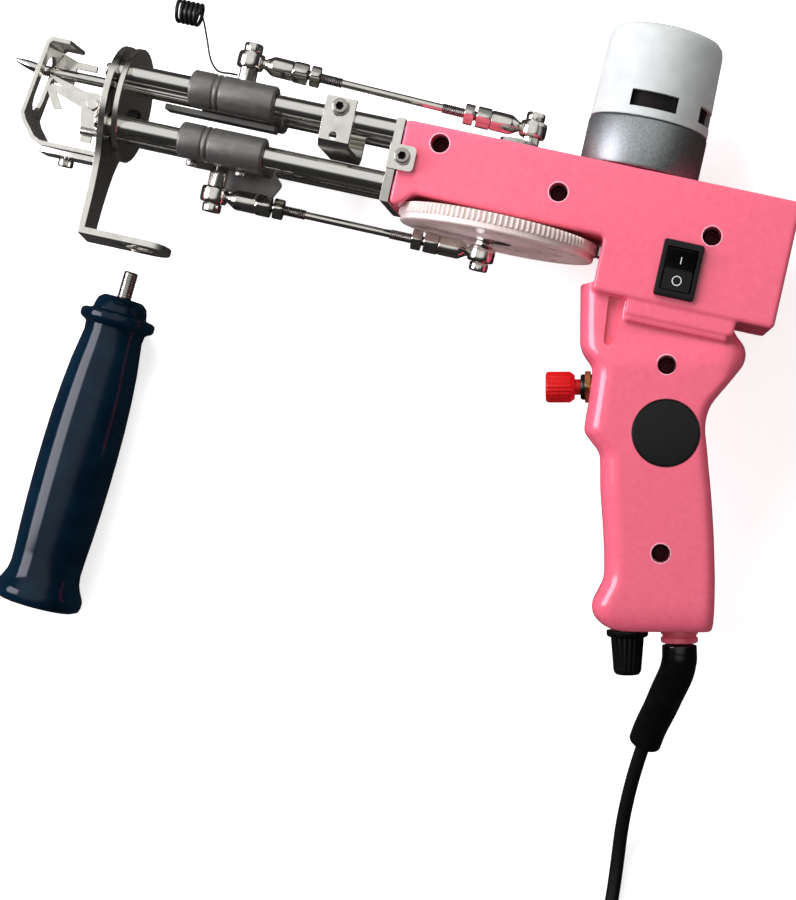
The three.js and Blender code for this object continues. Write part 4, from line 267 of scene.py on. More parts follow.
def finished(name, mesh, material, body, slot, stands_for=(), soften=0.0, smooth=38):
    """The last steps of every piece: its mesh is cleaned, faces that meet under the smooth
    angle in degrees are shaded as one surface, and it gets its finish and body. Its slot is not
    used."""
    cleaned(mesh, soften)
    mesh.polygons.foreach_set("use_smooth", np.ones(len(mesh.polygons), bool))
    mesh.set_sharp_from_angle(angle=math.radians(smooth))
    made = placed(name, mesh)
    mesh.materials.clear()
    mesh.materials.append(material)
    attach(made, body)
    if stands_for:
        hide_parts(*stands_for)
    return made


def piece(name, parts, *finish, **options):
    """One piece of closed parts, finished with the material and body that follow; the slot after
    them is not used.
    """
    return finished(name, joined(name, parts), *finish, **options)


def surface(name, light, dark, metallic, roughness, size, relief, stretch=(1, 1, 1), shine=0.5):
    """A finish on object coordinates: one cloud of spots of the given size in metres moves the
    colour from dark to light, the roughness a little, and the relief by its height in metres.
    Stretch draws the spots out along X, Y and Z."""
    made, tree = blank(name)
    where = add(tree, "TexCoord").outputs["Object"]
    scale = tuple(1 / (size * s) for s in stretch)
    scaled = add(tree, "Mapping", {"Vector": where, "Scale": scale})
    cloud = add(tree, "TexNoise", {"Vector": scaled, "Scale": 1.0, "Detail": 5.0})
    ramp = add(tree, "ValToRGB", {0: cloud})
    ends = ramp.color_ramp.elements
    ends[0].position, ends[0].color = SPOT_LOW, paint(dark)
    ends[1].position, ends[1].color = SPOT_HIGH, paint(light)
    spread = {"From Min": SPOT_LOW, "From Max": SPOT_HIGH}
    spread |= {"To Min": roughness * 0.85, "To Max": roughness * 1.15}
    rough = add(tree, "MapRange", {"Value": cloud} | spread)
    bump = add(tree, "Bump", {"Strength": 0.6, "Distance": relief, "Height": cloud})
    sockets = {"Base Color": ramp, "Metallic": metallic, "Roughness": rough, "Normal": bump}
    shader = add(tree, "BsdfPrincipled", sockets | {"Specular IOR Level": shine})
    add(tree, "OutputMaterial", {0: shader})
    return made


CORD_RADIUS, CORD_LEVEL = 2.7, -35.8
CORD_ROUTE = [
    (97.2, -198, -17.55), (96.7, -204, -19.9), (96.3, -212, -23.2), (96.2, -220, -26.6),
    (96.4, -229, -30.2), (97, -238, -33.1), (97.9, -247, -34.9), (98.7, -256, -35.7),
    (99.3, -265, CORD_LEVEL), (99.6, -275, CORD_LEVEL), (99.7, -286, CORD_LEVEL),
    (99.6, -297, CORD_LEVEL), (99.5, -306, CORD_LEVEL), (99.5, -312.6, CORD_LEVEL),
]
COIL_MIDDLE = (60.5, -320.0)
COIL_OUTER, COIL_PITCH, COIL_RISE = 39.0, 6.1, 6.3
TURNS_IN, TURNS_OUT, TURN_POINTS = 3.5, 2.75, 24
# The strap lifts the turns under it, from this share of a turn before it to as much after
TIE_TURN, TIE_LIFT, TIE_LIFT_SPAN = 0.75, 0.9, 0.13
TAIL, TAIL_LEVEL, TAIL_DROP = 46.0, 14.0, 28.0
PLUG_RADIUS = 5
PLUG_LEVEL = TABLE + PLUG_RADIUS


def ease(share):
    """A share from 0 to 1 that starts and stops gently: six of its fifth power, less fifteen of
    its fourth, and ten of its third."""
    s = np.clip(share, 0, 1)
    return s * s * s * (s * (s * 6 - 15) + 10)


coil_turn = np.arange((TURNS_IN + TURNS_OUT) * TURN_POINTS + 1) / TURN_POINTS
coil_inner = COIL_OUTER - COIL_PITCH * TURNS_IN
coil_radius = coil_inner + COIL_PITCH * np.abs(coil_turn - TURNS_IN)
coil_level = CORD_LEVEL + COIL_RISE * ease((coil_turn - TURNS_IN + 0.25) / 0.5)
from_tie = np.abs((coil_turn - TIE_TURN + 0.5) % 1 - 0.5)
coil_line = np.stack(
    [
        COIL_MIDDLE[0] + coil_radius * np.cos(coil_turn * 2 * math.pi),
        COIL_MIDDLE[1] - coil_radius * np.sin(coil_turn * 2 * math.pi),
        coil_level + TIE_LIFT * ease(1 - from_tie / TIE_LIFT_SPAN),
    ],
    1,
)
tail_x, tail_y, tail_z = coil_line[-1]
tail_run = np.arange(1, 9) / 8 * TAIL
tail_level = tail_z + (PLUG_LEVEL - tail_z) * ease((tail_run - TAIL_LEVEL) / TAIL_DROP)
tail_line = np.stack([tail_x - tail_run, np.full(8, tail_y), tail_level], 1)
run_line = smooth_line(np.vstack([CORD_ROUTE, coil_line[:1]]), 40)
wound_line = smooth_line(np.vstack([coil_line, tail_line]), 420)
cord_line = np.vstack([run_line[:-1], wound_line])
# Soft PVC drawn through a die: an even black with a low, silky gloss
cord_rubber = surface(
    "extruded_black_pvc", "#121213", "#0a0a0b", 0, 0.4, 0.0015, 0.00002, shine=0.3
)
cord = piece(
    "power_cord",
    [tube(cord_line, CORD_RADIUS, 14)],
    cord_rubber, "machine", "black_rubber", ("cord", "cord_coil"),
)

# Plug on the cord's far end: a barrel with a ribbed neck, moulded onto the lead, and a
# nickel-plated tip with its hole.
NECK_RIBS, RIB_PITCH = 4, 1.7


def turned(rings, at, direction, sides=48, closed=False):
    """A turned form: a ring of points stands at each place along the axis. Its radius is one
    number, or one for each angle round the axis."""
    levels = np.array([level for level, _ in rings], float)
    radii = np.stack([np.broadcast_to(radius, sides) for _, radius in rings])
    axis = np.asarray(direction, float) / np.linalg.norm(direction)
    helper = np.array([0, 0, 1.0]) if abs(axis[2]) < 0.9 else np.array([1.0, 0, 0])
    first = np.cross(helper, axis)
    first /= np.linalg.norm(first)
    second = np.cross(axis, first)
    angle = around(sides)[:, None]
    circle = np.cos(angle) * first + np.sin(angle) * second
    middles = np.asarray(at, float) + levels[:, None, None] * axis
    return skin(middles + radii[:, :, None] * circle, closed)


plug_profile = [(0, 3.2), (0.4, 3.6)]
for rib in range(NECK_RIBS):
    low, high = 1.2 + rib * RIB_PITCH, 2.0 + rib * RIB_PITCH
    plug_profile += [(low, 3.6), (low, 3.1), (high, 3.1), (high, 3.6)]
plug_profile += [
    (8, 3.6), (9.8, 4.8), (10.6, PLUG_RADIUS), (29.2, PLUG_RADIUS), (30, 4.2),
]
# PVC from a steel mould: the lead's black, a little glossier
plug_plastic = surface(
    "moulded_black_pvc", "#121213", "#0b0b0c", 0, 0.38, 0.0008, 0.00001, shine=0.3
)
plug_at = (tail_x - TAIL - 0.3, tail_y, PLUG_LEVEL)
plug = piece(
    "plug_body",
    [turned(plug_profile, plug_at, (-1, 0, 0), 40)],
    plug_plastic, "machine", "black_plastic", ("power_plug",), 0.15,
)
tip_profile = [
    (29.6, 2.75), (37, 2.75), (37.1, 2.55), (37.6, 2.55), (37.7, 2.75), (39.2, 2.75),
    (39.5, 2.5), (39.5, 1.3), (39.2, 1.1), (31, 1.1), (29.6, 1.1),
]
# Nickel plate on brass: a warm, bright mirror
tip_nickel = surface("nickel_plate", "#d6d3cc", "#bdbab2", 1, 0.2, 0.002, 0.000005)
plug_tip = piece(
    "plug_tip",
    [turned(tip_profile, plug_at, (-1, 0, 0), 40, True)],
    tip_nickel, "machine", "bright_steel",
)

# Tie round the coil: a strap of woven black hook tape, 9 mm wide, whose free end lies on its
# own first turn.
TIE_THICK, TIE_HALF, TIE_PLAY = 0.6, 4.5, 0.12
TIE_OVERLAP_FROM, TIE_OVERLAP_RISE, TIE_OVERLAP_PLAY = 0.62, 0.2, 0.1
tie_low = CORD_LEVEL + TIE_LIFT
tie_high = tie_low + COIL_RISE
tie_corners = np.array(
    [
        (coil_inner + COIL_PITCH * 0.25, tie_high), (coil_inner + COIL_PITCH * 0.75, tie_low),
        (coil_inner + COIL_PITCH * 2.75, tie_low), (coil_inner + COIL_PITCH * 2.25, tie_high),
    ]
)
# The strap is a line at one distance from the corners, so it turns round each of them
tie_edges = np.roll(tie_corners, -1, 0) - tie_corners
tie_normals = np.arctan2(-tie_edges[:, 0], tie_edges[:, 1])
tie_order = np.array([3, 0, 1, 2, 3, 0])
tie_from = tie_normals[tie_order - 1, None]
tie_turn = (tie_normals[tie_order, None] - tie_from) % (2 * math.pi)
tie_bearing = (tie_from + tie_turn * np.linspace(0, 1, 9)).ravel()[4:-7]
tie_path = np.repeat(tie_corners[tie_order], 9, 0)[4:-7]
tie_out = np.column_stack([np.cos(tie_bearing), np.sin(tie_bearing)])
tie_share = np.linspace(0, 1, len(tie_path))
tie_overlap = ease((tie_share - TIE_OVERLAP_FROM) / TIE_OVERLAP_RISE)
tie_reach = CORD_RADIUS + TIE_PLAY + (TIE_THICK + TIE_OVERLAP_PLAY) * tie_overlap
# The tape's section: shares of its half width and of its thickness, with thinner edges
tie_side = np.array([-1, -0.96, 0.96, 1, 1, 0.96, -0.96, -1])
tie_depth = np.array([0.1, 0, 0, 0.1, 0.9, 1, 1, 0.9])
tie_spot = (tie_reach[:, None] + tie_depth * TIE_THICK)[..., None] * tie_out[:, None]
tie_spot += tie_path[:, None]
tie_across = tie_side * TIE_HALF + np.zeros((len(tie_path), 1))
tie_along = np.sqrt(tie_spot[..., 0] ** 2 - tie_across**2)
tie_rings = np.stack(
    [COIL_MIDDLE[0] + tie_across, COIL_MIDDLE[1] + tie_along, tie_spot[..., 1]], -1
)
# Woven nylon: black without gloss, its threads drawn at 0.6 mm so that they show
tie_tape = surface(
    "woven_black_hook_tape", "#1d1d1f", "#0c0c0d", 0, 0.75, 0.0006, 0.00012, shine=0.2
)
coil_tie = piece(
    "coil_tie", [skin(tie_rings)], tie_tape, "machine", "black_rubber", smooth=30
)

# Sleeve on the cord's first 45 mm: glossy black vinyl wound over the lead and drawn smooth, a
# little uneven, about as wide as the collar it comes out of.
SLEEVE_RADIUS, SLEEVE_ROWS, SLEEVE_SIDES = 6.5, 150, 64
WRAP_TURNS, WRAP_STEP = 3.3, 0.04
sleeve_route = smooth_line(
    [
        (101.15, -155.7, 0), (101.8, -158.6, 0), (102.4, -162, -0.4), (102.4, -168, -2.8),
        (100.6, -178, -8.4), (98.4, -190, -14.4), (97.3, -197.6, -17.4),
    ],
    SLEEVE_ROWS,
)
sleeve_share = np.linspace(0, 1, SLEEVE_ROWS)[:, None]
sleeve_angle = around(SLEEVE_SIDES)
wrap = (sleeve_share * WRAP_TURNS + sleeve_angle / (2 * math.pi)) % 1
sleeve_radius = SLEEVE_RADIUS + WRAP_STEP * wrap
sleeve_radius += 0.16 * np.sin(sleeve_angle * 2 + sleeve_share * 5)
sleeve_radius += 0.1 * np.sin(sleeve_angle * 3 - sleeve_share * 13)
sleeve_radius[[0, 1, -2, -1]] *= np.array([0.86, 0.97, 0.98, 0.9])[:, None]
sleeve_points, sleeve_faces = tube(sleeve_route, 1.0, SLEEVE_SIDES)
sleeve_middle = np.repeat(sleeve_route, SLEEVE_SIDES, 0)
sleeve_points = sleeve_middle + (sleeve_points - sleeve_middle) * sleeve_radius.reshape(-1, 1)
# Stretched vinyl tape: deep black with wet-looking, broken highlights
vinyl_tape = surface(
    "wound_vinyl_tape", "#0c0c0d", "#060607", 0, 0.16, 0.004, 0.00003, shine=0.45
)
piece(
    "cord_tape",
    [(sleeve_points, sleeve_faces)],
    vinyl_tape, "machine", "black_rubber", ("cord_sleeve",), smooth=60,
)

# Pistol housing: two moulded shells of glossy pink ABS that meet in the middle plane. Each is
# the barrel and rear block, a shelf, and the swelling grip, melted together with soft edges;
# then the screw wells, the switch's seat and the shaft's bores are cut.
GRIP_TILT = math.radians(12.6)
GRIP_DOWN = np.array([math.sin(GRIP_TILT), -math.cos(GRIP_TILT), 0])
GRIP_ACROSS = np.array([math.cos(GRIP_TILT), math.sin(GRIP_TILT), 0])
GRIP_TOP = np.array([70.0, -30.0, 0])
HOUSING_HALF, SHELL_GAP, BLOCK_EDGE, BLOCK_CORNER = 22.0, 0.15, 1.0, 1.8
END_LOW = -18.2
BLOCK = [
    (-40.4, 13.6), (-40.4, END_LOW), (-36.4, -17.8), (-31.8, -12.9),
    (40.3, -13.7), (40.4, -33.8), (108.3, -33.8), (108.3, 13.6),
]
NOTCH = [(46.8, -34.4), (53.3, -34.4), (52.4, -49.4), (50.6, -52.6), (48.6, -51.6)]
# Down the grip: how far its front, its back and its flat faces stand from its middle line
GRIP_ROWS = [
    (-6, -34.2, 22, 18.4), (8, -34.4, 22, 18.2), (13, -34.4, 23.2, 18.1),
    (17, -34.3, 26.2, 18.6), (20.5, -32.8, 27.2, 19.4), (24.4, -30.2, 26.3, 20),
    (28, -29.9, 23.6, 19.9), (32.1, -30.4, 20.2, 19.7), (38.9, -31.4, 14.6, 19.4),
    (44, -32.3, 12.5, 19.2), (49, -32.8, 12, 19.1), (52.2, -30.8, 12.3, 19),
    (57.1, -27.4, 12.8, 19), (62, -26.9, 13.2, 18.9), (71.2, -26.8, 14.1, 18.7),
    (86.3, -25.8, 15.1, 18.6), (98.9, -25.4, 15.5, 18.7), (105, -25.9, 15.6, 18.8),
    (110.2, -28.4, 15.5, 18.9), (114, -30, 15.4, 18.9), (118, -29.3, 15.2, 18.6),
    (121.2, -26.5, 14.9, 17.9), (123, -23.4, 14.4, 16.8), (123.6, -20.5, 13.8, 15.6),
]
GRIP_END = GRIP_ROWS[-1][0]
# The section's front: a wall, then a wide bevel up to the flat face. Its back: a rounding that
# grows where the back stands far out
FRONT_WALL, FRONT_BEVEL, BEVEL_DEPTH = 2.6, 6.2, 2.1
BACK_ROUND, BACK_FLAT = 4.6, 17.0
BUTTON_PLACE = (32.1, -28.7)
KNOB_ACROSS, COLLAR_ACROSS = -16.6, 3
BADGE_X, BADGE_Y = 78.4, -79.3
MOTOR_X = 47.2
SCREWS = {
    "front": (-26.3, 7.2, 15.0), "middle": (20.5, -1.3, 15.0), "rear": (79, -5.4, 15.0),
    "grip": (73.2, -54.7, 12.8), "butt": (86.2, -123, 12.8),
}
WELL_RADIUS = 3.5
VOXEL = 0.00066


def grip_point(down, across, z=0.0):
    """Points of the grip's own slanted frame in the machine's frame: so far down the grip, so
    far across it, and z up."""
    return GRIP_TOP + down * GRIP_DOWN + across * GRIP_ACROSS + z * np.array([0, 0, 1.0])


def rounded(points, radius, steps=5):
    """An outline with each corner drawn as a short parabola between two points on its sides."""
    p = np.asarray(points, float)
    to_last = np.roll(p, 1, 0) - p
    to_next = np.roll(p, -1, 0) - p
    start = p + to_last / np.linalg.norm(to_last, axis=1)[:, None] * radius
    end = p + to_next / np.linalg.norm(to_next, axis=1)[:, None] * radius
    t = np.linspace(0, 1, steps)[None, :, None]
    bend = (1 - t) ** 2 * start[:, None] + 2 * (1 - t) * t * p[:, None] + t**2 * end[:, None]
    return bend.reshape(-1, 2)


def plate(outline, low, high, up="z"):
    """A flat plate: an outline raised from low to high. Drawn in X and Y for z, in Y and Z
    for x, in Z and X for y."""
    outline = np.asarray(outline, float)
    rings = [np.column_stack([outline, np.full(len(outline), level)]) for level in (low, high)]
    order = {"z": (0, 1, 2), "x": (2, 0, 1), "y": (1, 2, 0)}[up]
    return skin(np.stack(rings)[:, :, order])


def block(left, right, low, high, bottom, top):
    """A box from its six sides."""
    return plate([(left, low), (right, low), (right, high), (left, high)], bottom, top)


def bare(name, parts):
    """Several closed parts as one cleaned object, for melting or cutting."""
    return placed(name, cleaned(joined(name, parts)))


def baked(made, steps):
    """The object's mesh after its modifiers, each given as its kind and its settings."""
    for kind, settings in steps:
        change = made.modifiers.new(kind.lower(), kind)
        for field, value in settings.items():
            setattr(change, field, value)
    bpy.context.view_layer.update()
    graph = bpy.context.evaluated_depsgraph_get()
    mesh = bpy.data.meshes.new_from_object(made.evaluated_get(graph))
    bpy.data.objects.remove(made)
    return mesh


def carved(made, tools):
    """The object's mesh after each tool's form is taken away from it."""
    cut = {"operation": "DIFFERENCE", "solver": "EXACT"}
    mesh = baked(made, [("BOOLEAN", cut | {"object": tool}) for tool in tools])
    for tool in tools:
        bpy.data.objects.remove(tool)
    return mesh


def grip_section(front, back, half):
    """Half a section: up the front, over a wide bevel, across the flat face, down the back.
    Each corner is a parabola between two points on its sides."""
    corners = np.array(
        [
            (front, 0), (front, half * 0.5), (front + FRONT_WALL, half - BEVEL_DEPTH),
            (front + FRONT_BEVEL, half), (back, half), (back, 0),
        ]
    )
    radii = (3.5, 1.6, 1.4, max(BACK_ROUND, back - BACK_FLAT))
    t = np.linspace(0, 1, 9)[:, None]
    line = [corners[0]]
    for last, at, after, radius in zip(corners, corners[1:], corners[2:], radii):
        sides = [(end - at, np.linalg.norm(end - at)) for end in (last, after)]
        start, end = (at + way / length * min(radius, length / 2) for way, length in sides)
        line += list((1 - t) ** 2 * start + 2 * (1 - t) * t * at + t**2 * end)
    return np.array([*line, corners[-1]])


def shell_half(side):
    """One half of the housing, melted from its parts and then cut. Side is 1 for the near
    shell and -1 for the far one."""
    low, high = SHELL_GAP * side, HOUSING_HALF * side
    grip = []
    for down, front, back, half in smooth_line(GRIP_ROWS, 130):
        section = grip_section(front, back, half)
        height = np.maximum(section[:, 1:], SHELL_GAP) * side
        grip.append(grip_point(down, section[:, :1], height))
    outline = rounded(BLOCK, BLOCK_CORNER)
    edge = np.roll(outline, -1, 0) - np.roll(outline, 1, 0)
    inward = np.column_stack([-edge[:, 1], edge[:, 0]]) / np.linalg.norm(edge, axis=1)[:, None]
    barrel = []
    for z, inset in ((low, 0), (high - BLOCK_EDGE * side, 0), (high - 0.3 * side, 0.3), (high, 1)):
        barrel.append(np.column_stack([outline + inward * inset, np.full(len(outline), z)]))
    parts = [
        skin(np.stack(barrel)),
        skin(np.stack(grip)),
        # The shelf under the rear block, in two steps
        block(53.9, 94.4, -39.4, -32, *sorted((low, 21.3 * side))),
        block(54.4, 92.6, -42.0, -32, *sorted((low, 20.7 * side))),
    ]
    melt = ("REMESH", {"mode": "VOXEL", "voxel_size": VOXEL})
    smoothing = ("SMOOTH", {"factor": 0.5, "iterations": 3})
    made = placed("shell", baked(bare("shell", parts), [melt, smoothing]))
    # Bore and seats of the gear's shaft
    bore = [(-16.4, 9.65), (-8.9, 9.65), (-8.9, 4.3), (8.3, 4.3), (8.3, 9.65), (16, 9.65)]
    cuts = [
        turned(bore, (0, 0, 0), (0, 1, 0)),
        plate(rounded(NOTCH, 0.8), *sorted((16.4 * side, 25 * side))),
        # Holes of the button, the speed knob, the cord's collar and the motor's shaft
        turned([(-15, 5.15), (12, 5.15)], grip_point(*BUTTON_PLACE), -GRIP_ACROSS),
        turned([(-5, 3.9), (8, 3.9)], grip_point(GRIP_END, KNOB_ACROSS), GRIP_DOWN),
        turned([(113.7, 7.15), (134, 7.15)], grip_point(0, COLLAR_ACROSS), GRIP_DOWN),
        turned([(0, 4), (8, 4)], (MOTOR_X, 8, 0), (0, 1, 0)),
    ]
    if side > 0:
        # The screw wells, and the seats of the switch and the badge
        for x, y, seat in SCREWS.values():
            cuts.append(turned([(seat, WELL_RADIUS), (30, WELL_RADIUS)], (x, y, 0), (0, 0, 1)))
        cuts.append(block(63.1, 76.7, -30.0, -10.4, 8.7, 26))
        cuts.append(turned([(17.4, 12.7), (24, 12.7)], (BADGE_X, BADGE_Y, 0), (0, 0, 1), 96))
    teeth_room = turned([(-22.6, 39.45), (-15, 39.45)], (0, 0, 0), (0, 1, 0), 96)
    pinion_room = turned([(-22.6, 10.5), (-14.9, 10.5)], (MOTOR_X, 0, 0), (0, 1, 0), 64)
    tools = [("wells", cuts), ("teeth_room", [teeth_room]), ("pinion_room", [pinion_room])]
    return carved(made, [bare(name, forms) for name, forms in tools])


# ABS from a polished mould: an even pink with a wide gloss and a faint ripple in it
pink_abs = surface("moulded_pink_abs", "#f26c83", "#ea6179", 0, 0.2, 0.0022, 0.000006)
for name, side in (("near", 1), ("far", -1)):
    finished(
        "shell_" + name, shell_half(side), pink_abs, "machine", "pink_plastic",
        ("housing_" + name,), smooth=32,
    )

# Rims of the screw wells: a fine raised ring of the shell's own ABS, moulded round each well
# and painted pale pink as a highlight along its edge.
WELL_TOPS = {"grip": 19.85, "butt": 18.68}
RIM_RINGS = [(-0.6, WELL_RADIUS), (0.02, WELL_RADIUS), (0.12, 3.7), (0.02, 3.95), (-0.6, 3.95)]
rims = []
for key, (x, y, _) in SCREWS.items():
    top = (x, y, WELL_TOPS.get(key, HOUSING_HALF))
    rims.append(turned(RIM_RINGS, top, (0, 0, 1), 48, True))
# Painted highlight: the shell's pink made pale, half dull
rim_highlight_paint = surface("shell_pink_painted_highlight", "#f7b6c6", "#f0a2b5", 0, 0.35, 0.002, 0.00001)
piece("well_rims", rims, rim_highlight_paint, "machine", "pink_plastic")

# Screws: steel socket heads with a knurled side and a six-sided socket. Those of the shells
# stand deep in their wells and are blackened; those of the plate, bracket and foot are plated.
SCREW_SIDES, KNURLS = 72, 24


def hexagon(corner):
    """Radius of a hexagon at each angle round its middle: its radius over corners, times the
    cosine of 30 degrees, over the cosine of the angle from the nearest flat's middle."""
    sixth = math.pi / 6
    return corner * math.cos(sixth) / np.cos((around(SCREW_SIDES) + sixth) % (2 * sixth) - sixth)


def cap_screw(seat, direction, head=3.0, height=3.0, shank=1.5, length=6.0, socket=1.5):
    """A socket screw from its seat along its axis: shank, knurled head, broken edge, socket."""
    ridges = head - 0.07 * (1 + np.cos(around(SCREW_SIDES) * KNURLS))
    rings = [
        (-length, shank * 0.8), (-length + 0.4, shank), (0, shank), (0, ridges * 0.97),
        (0.2, ridges), (height * 0.78, ridges), (height - 0.12, head * 0.93),
        (height, head * 0.87), (height, hexagon(socket) * 1.12),
        (height - 0.15, hexagon(socket)), (height - 1.6, hexagon(socket)),
    ]
    return turned(rings, seat, direction, SCREW_SIDES)


def darken_socket(made):
    """Gives the socket, which is drawn last in a screw, near black as painted shade in its hollow.
    """
    made.data.materials.append(socket_shade_paint)
    index = np.zeros(len(made.data.polygons), np.int32)
    index[-1] = 1
    index[-2 - SCREW_SIDES : -2] = 1
    made.data.polygons.foreach_set("material_index", index)


# Painted shade in a socket's hollow: black, with hardly a shine
socket_shade_paint = surface(
    "painted_socket_shade", "#0c0b0b", "#050505", 0, 0.6, 0.001, 0.00001, shine=0.2
)
# Black oxide on steel: brown-black and half dull, with a painted reflection of the pink walls
# round it that reddens it
oxide_painted_reflection = surface("oxide_steel_painted_pink_reflection", "#35191c", "#221012", 1, 0.4, 0.002, 0.00001)
for key, (x, y, seat) in SCREWS.items():
    piece(
        "well_screw_" + key,
        [cap_screw((x, y, seat + 0.15), (0, 0, 1), 3.1, 2.4, 1.4, 14)],
        oxide_painted_reflection, "machine", "grey_metal", ("shell_screw_" + key,),
    )
# Zinc plate on small screws: clean grey metal with small bright lights
plated_screw = surface("zinc_plated_screw", "#bdbab3", "#9b9891", 1, 0.24, 0.002, 0.000005)
for name, node, seat, direction, length, slot in (
    ("plate_screw", "front_plate_screw", (-38.4, -0.8, 24.45), (0, 0, 1), 6.0, "grey_metal"),
    ("bracket_screw", "rod_bracket_screw", (-66, 13.2, 18.95), (0, 0, 1), 2.1, "grey_metal"),
    ("foot_plate_screw", "foot_screw", (-170, -25.45, 0), (0, -1, 0), 3.4, "bright_steel"),
):
    screw = cap_screw(seat, direction, length=length)
    darken_socket(piece(name, [screw], plated_screw, "machine", slot, (node,)))

# Sheet steel pieces: stamped and bent 2 to 3 mm strip, bright zinc, with sheared edges broken.
# Each is the solid's own form with its flat faces made whole and its edges rounded.
NEAR_CORNER, FLAT_ANGLE = 2e-6, 0.01


def dressed(name, node, material, slot, soften, lowest=-math.inf):
    """A copy of a solid: corners merged, flat faces joined, edges broken by soften mm. Corners
    whose Y is under lowest are raised to it."""
    mesh = frame["nodes"][node].data.copy()
    corners = np.empty(len(mesh.vertices) * 3, np.float32)
    mesh.vertices.foreach_get("co", corners)
    corners[1::3] = np.maximum(corners[1::3], (lowest + MACHINE[1]) / 1000)
    mesh.vertices.foreach_set("co", corners)
    work = bmesh.new()
    work.from_mesh(mesh)
    bmesh.ops.remove_doubles(work, verts=work.verts, dist=NEAR_CORNER)
    bmesh.ops.dissolve_limit(work, angle_limit=FLAT_ANGLE, verts=work.verts, edges=work.edges)
    work.to_mesh(mesh)
    work.free()
    bodies = frame["record"]["behaviour"]["bodies"]
    body = next(body for body, nodes in bodies.items() if node in nodes)
    return finished(name, mesh, material, body, slot, (node,), soften, 25)


# Bright zinc over smooth strip: a pale mirror that wavers a little
zinc = surface("bright_zinc_plate", "#e8e6df", "#d3d0c8", 1, 0.19, 0.004, 0.000006)
dressed("end_plate", "front_plate", zinc, "bright_steel", 0.3, END_LOW)
rear_disc = [
    (-150.2, 0.5), (-150.2, 21.7), (-149.9, 22), (-148.1, 22), (-147.8, 21.7), (-147.8, 0.5),
]
piece(
    "nose_disc_rear",
    [turned(rear_disc, (0, 0, 0), (1, 0, 0), 160)],
    zinc, "machine", "bright_steel", ("nose_rear_disc",),
)
for name, node, slot, soften in (
    ("nose_plate_with_arm", "nose_arm_plate", "bright_steel", 0.35),
    ("foot", "presser_foot", "bright_steel", 0.25),
    ("bracket", "rod_bracket", "bright_steel", 0.25),
    ("blade_fixed", "fixed_blade", "ground_steel", 0.1),
    ("blade_moving", "moving_blade", "ground_steel", 0.1),
):
    dressed(name, node, zinc, slot, soften)
# Moulded rubber: dark grey-black without gloss
bumper_rubber = surface("moulded_black_rubber", "#1c1c1c", "#121212", 0, 0.6, 0.001, 0.00002)
bumper_profile = [(0, 2.8), (3.2, 2.8), (4.1, 2.4), (4.5, 1.5), (4.6, 0.5)]
piece(
    "bumper",
    [turned(bumper_profile, (-149.9, -4, 0), (1, 0, 0), 32)],
    bumper_rubber, "machine", "black_rubber", ("nose_bumper",),
)

# Guide rods: four ground steel bars of 8 mm with a small cone at each end. A cap screw holds
# each through the nose plate.
ROD_Y, ROD_Z, ROD_RADIUS, ROD_FRONT, ROD_LENGTH = 10, 12.5, 4, -155.2, 123.8
# Ground bar: bright, with fine streaks along it, drawn at 0.6 mm so that they show
ground = surface(
    "ground_bar_steel", "#e0ded8", "#d3d1cb", 1, 0.12, 0.0006, 0.0000004, stretch=(30, 1, 1)
)
rod_profile = [
    (0, ROD_RADIUS - 0.5), (0.5, ROD_RADIUS),
    (ROD_LENGTH - 0.5, ROD_RADIUS), (ROD_LENGTH, ROD_RADIUS - 0.5),
]
for height, y in (("upper", ROD_Y), ("lower", -ROD_Y)):
    for side, z in (("near", ROD_Z), ("far", -ROD_Z)):
        bar = turned(rod_profile, (ROD_FRONT, y, z), (1, 0, 0), 64)
        screw = cap_screw((ROD_FRONT - 0.15, y, z), (-1, 0, 0), 2.7, 2.6, 1.4, 0.6, 1.3)
        piece(
            f"rod_{height}_{side}", [bar, screw], ground, "machine", "bright_steel",
            (f"guide_rod_{height}_{side}",),
        )

# Motor: a drawn steel can with a mottled galvanised skin, and behind it the end plate
# with its brush holders, painted near black as the shade inside, under a white plastic cup
# with windows.
CAN_LOW, CAN_TOP, CUP_TOP = 13.9, 32.1, 68.2
WINDOW_WIDE, WINDOW_LOW, WINDOW_HIGH = 17.4, 35.7, 41.9
motor_at = (MOTOR_X, 0, 0)
# Galvanised sheet: grey metal, mottled in spots of about 1 mm, with a soft shine
galvanised = surface("galvanised_steel", "#bcc2c1", "#868c8c", 1, 0.52, 0.0008, 0.000012)
can_profile = [
    (CAN_LOW, 21.6), (CAN_LOW + 0.4, 22.4), (CAN_LOW + 1.2, 22.7), (CAN_TOP - 1.2, 22.7),
    (CAN_TOP - 0.4, 22.4), (CAN_TOP, 21.7), (CAN_TOP, 17.4),
]
piece(
    "motor_shell",
    [turned(can_profile, motor_at, (0, 1, 0), 128)],
    galvanised, "machine", "galvanised", ("motor_can",),
)
# Painted shade: the end plate inside the cup in dull brown-black, seen as the dark behind the
# windows
brush_end_shade_paint = surface(
    "brush_end_painted_shade", "#191514", "#0c0a0a", 0, 0.6, 0.002, 0.00003, shine=0.2
)
piece(
    "motor_brush_end",
    [turned([(CAN_TOP, 19.9), (58, 19.9), (61, 15)], motor_at, (0, 1, 0), 96)],
    brush_end_shade_paint, "machine", "galvanised", soften=0.2,
)
cup_profile = [
    (CAN_TOP + 0.3, 20.7), (CAN_TOP + 0.3, 22.3), (CAN_TOP + 0.6, 22.5), (CUP_TOP - 5, 21.7),
    (CUP_TOP - 2.6, 21.1), (CUP_TOP - 1.0, 19.6), (CUP_TOP - 0.2, 17.4), (CUP_TOP, 15),
    (CUP_TOP, 3.5), (CUP_TOP - 1.8, 3.5), (CUP_TOP - 1.8, 16), (CUP_TOP - 4, 19.9),
]
windows = []
for azimuth in (1.0, 75.0):
    spin = Matrix.Rotation(math.radians(azimuth), 3, "Y")
    points, faces = block(-WINDOW_WIDE / 2, WINDOW_WIDE / 2, WINDOW_LOW, WINDOW_HIGH, 12, 27)
    windows.append(bare("window", [(points @ np.array(spin).T + motor_at, faces)]))
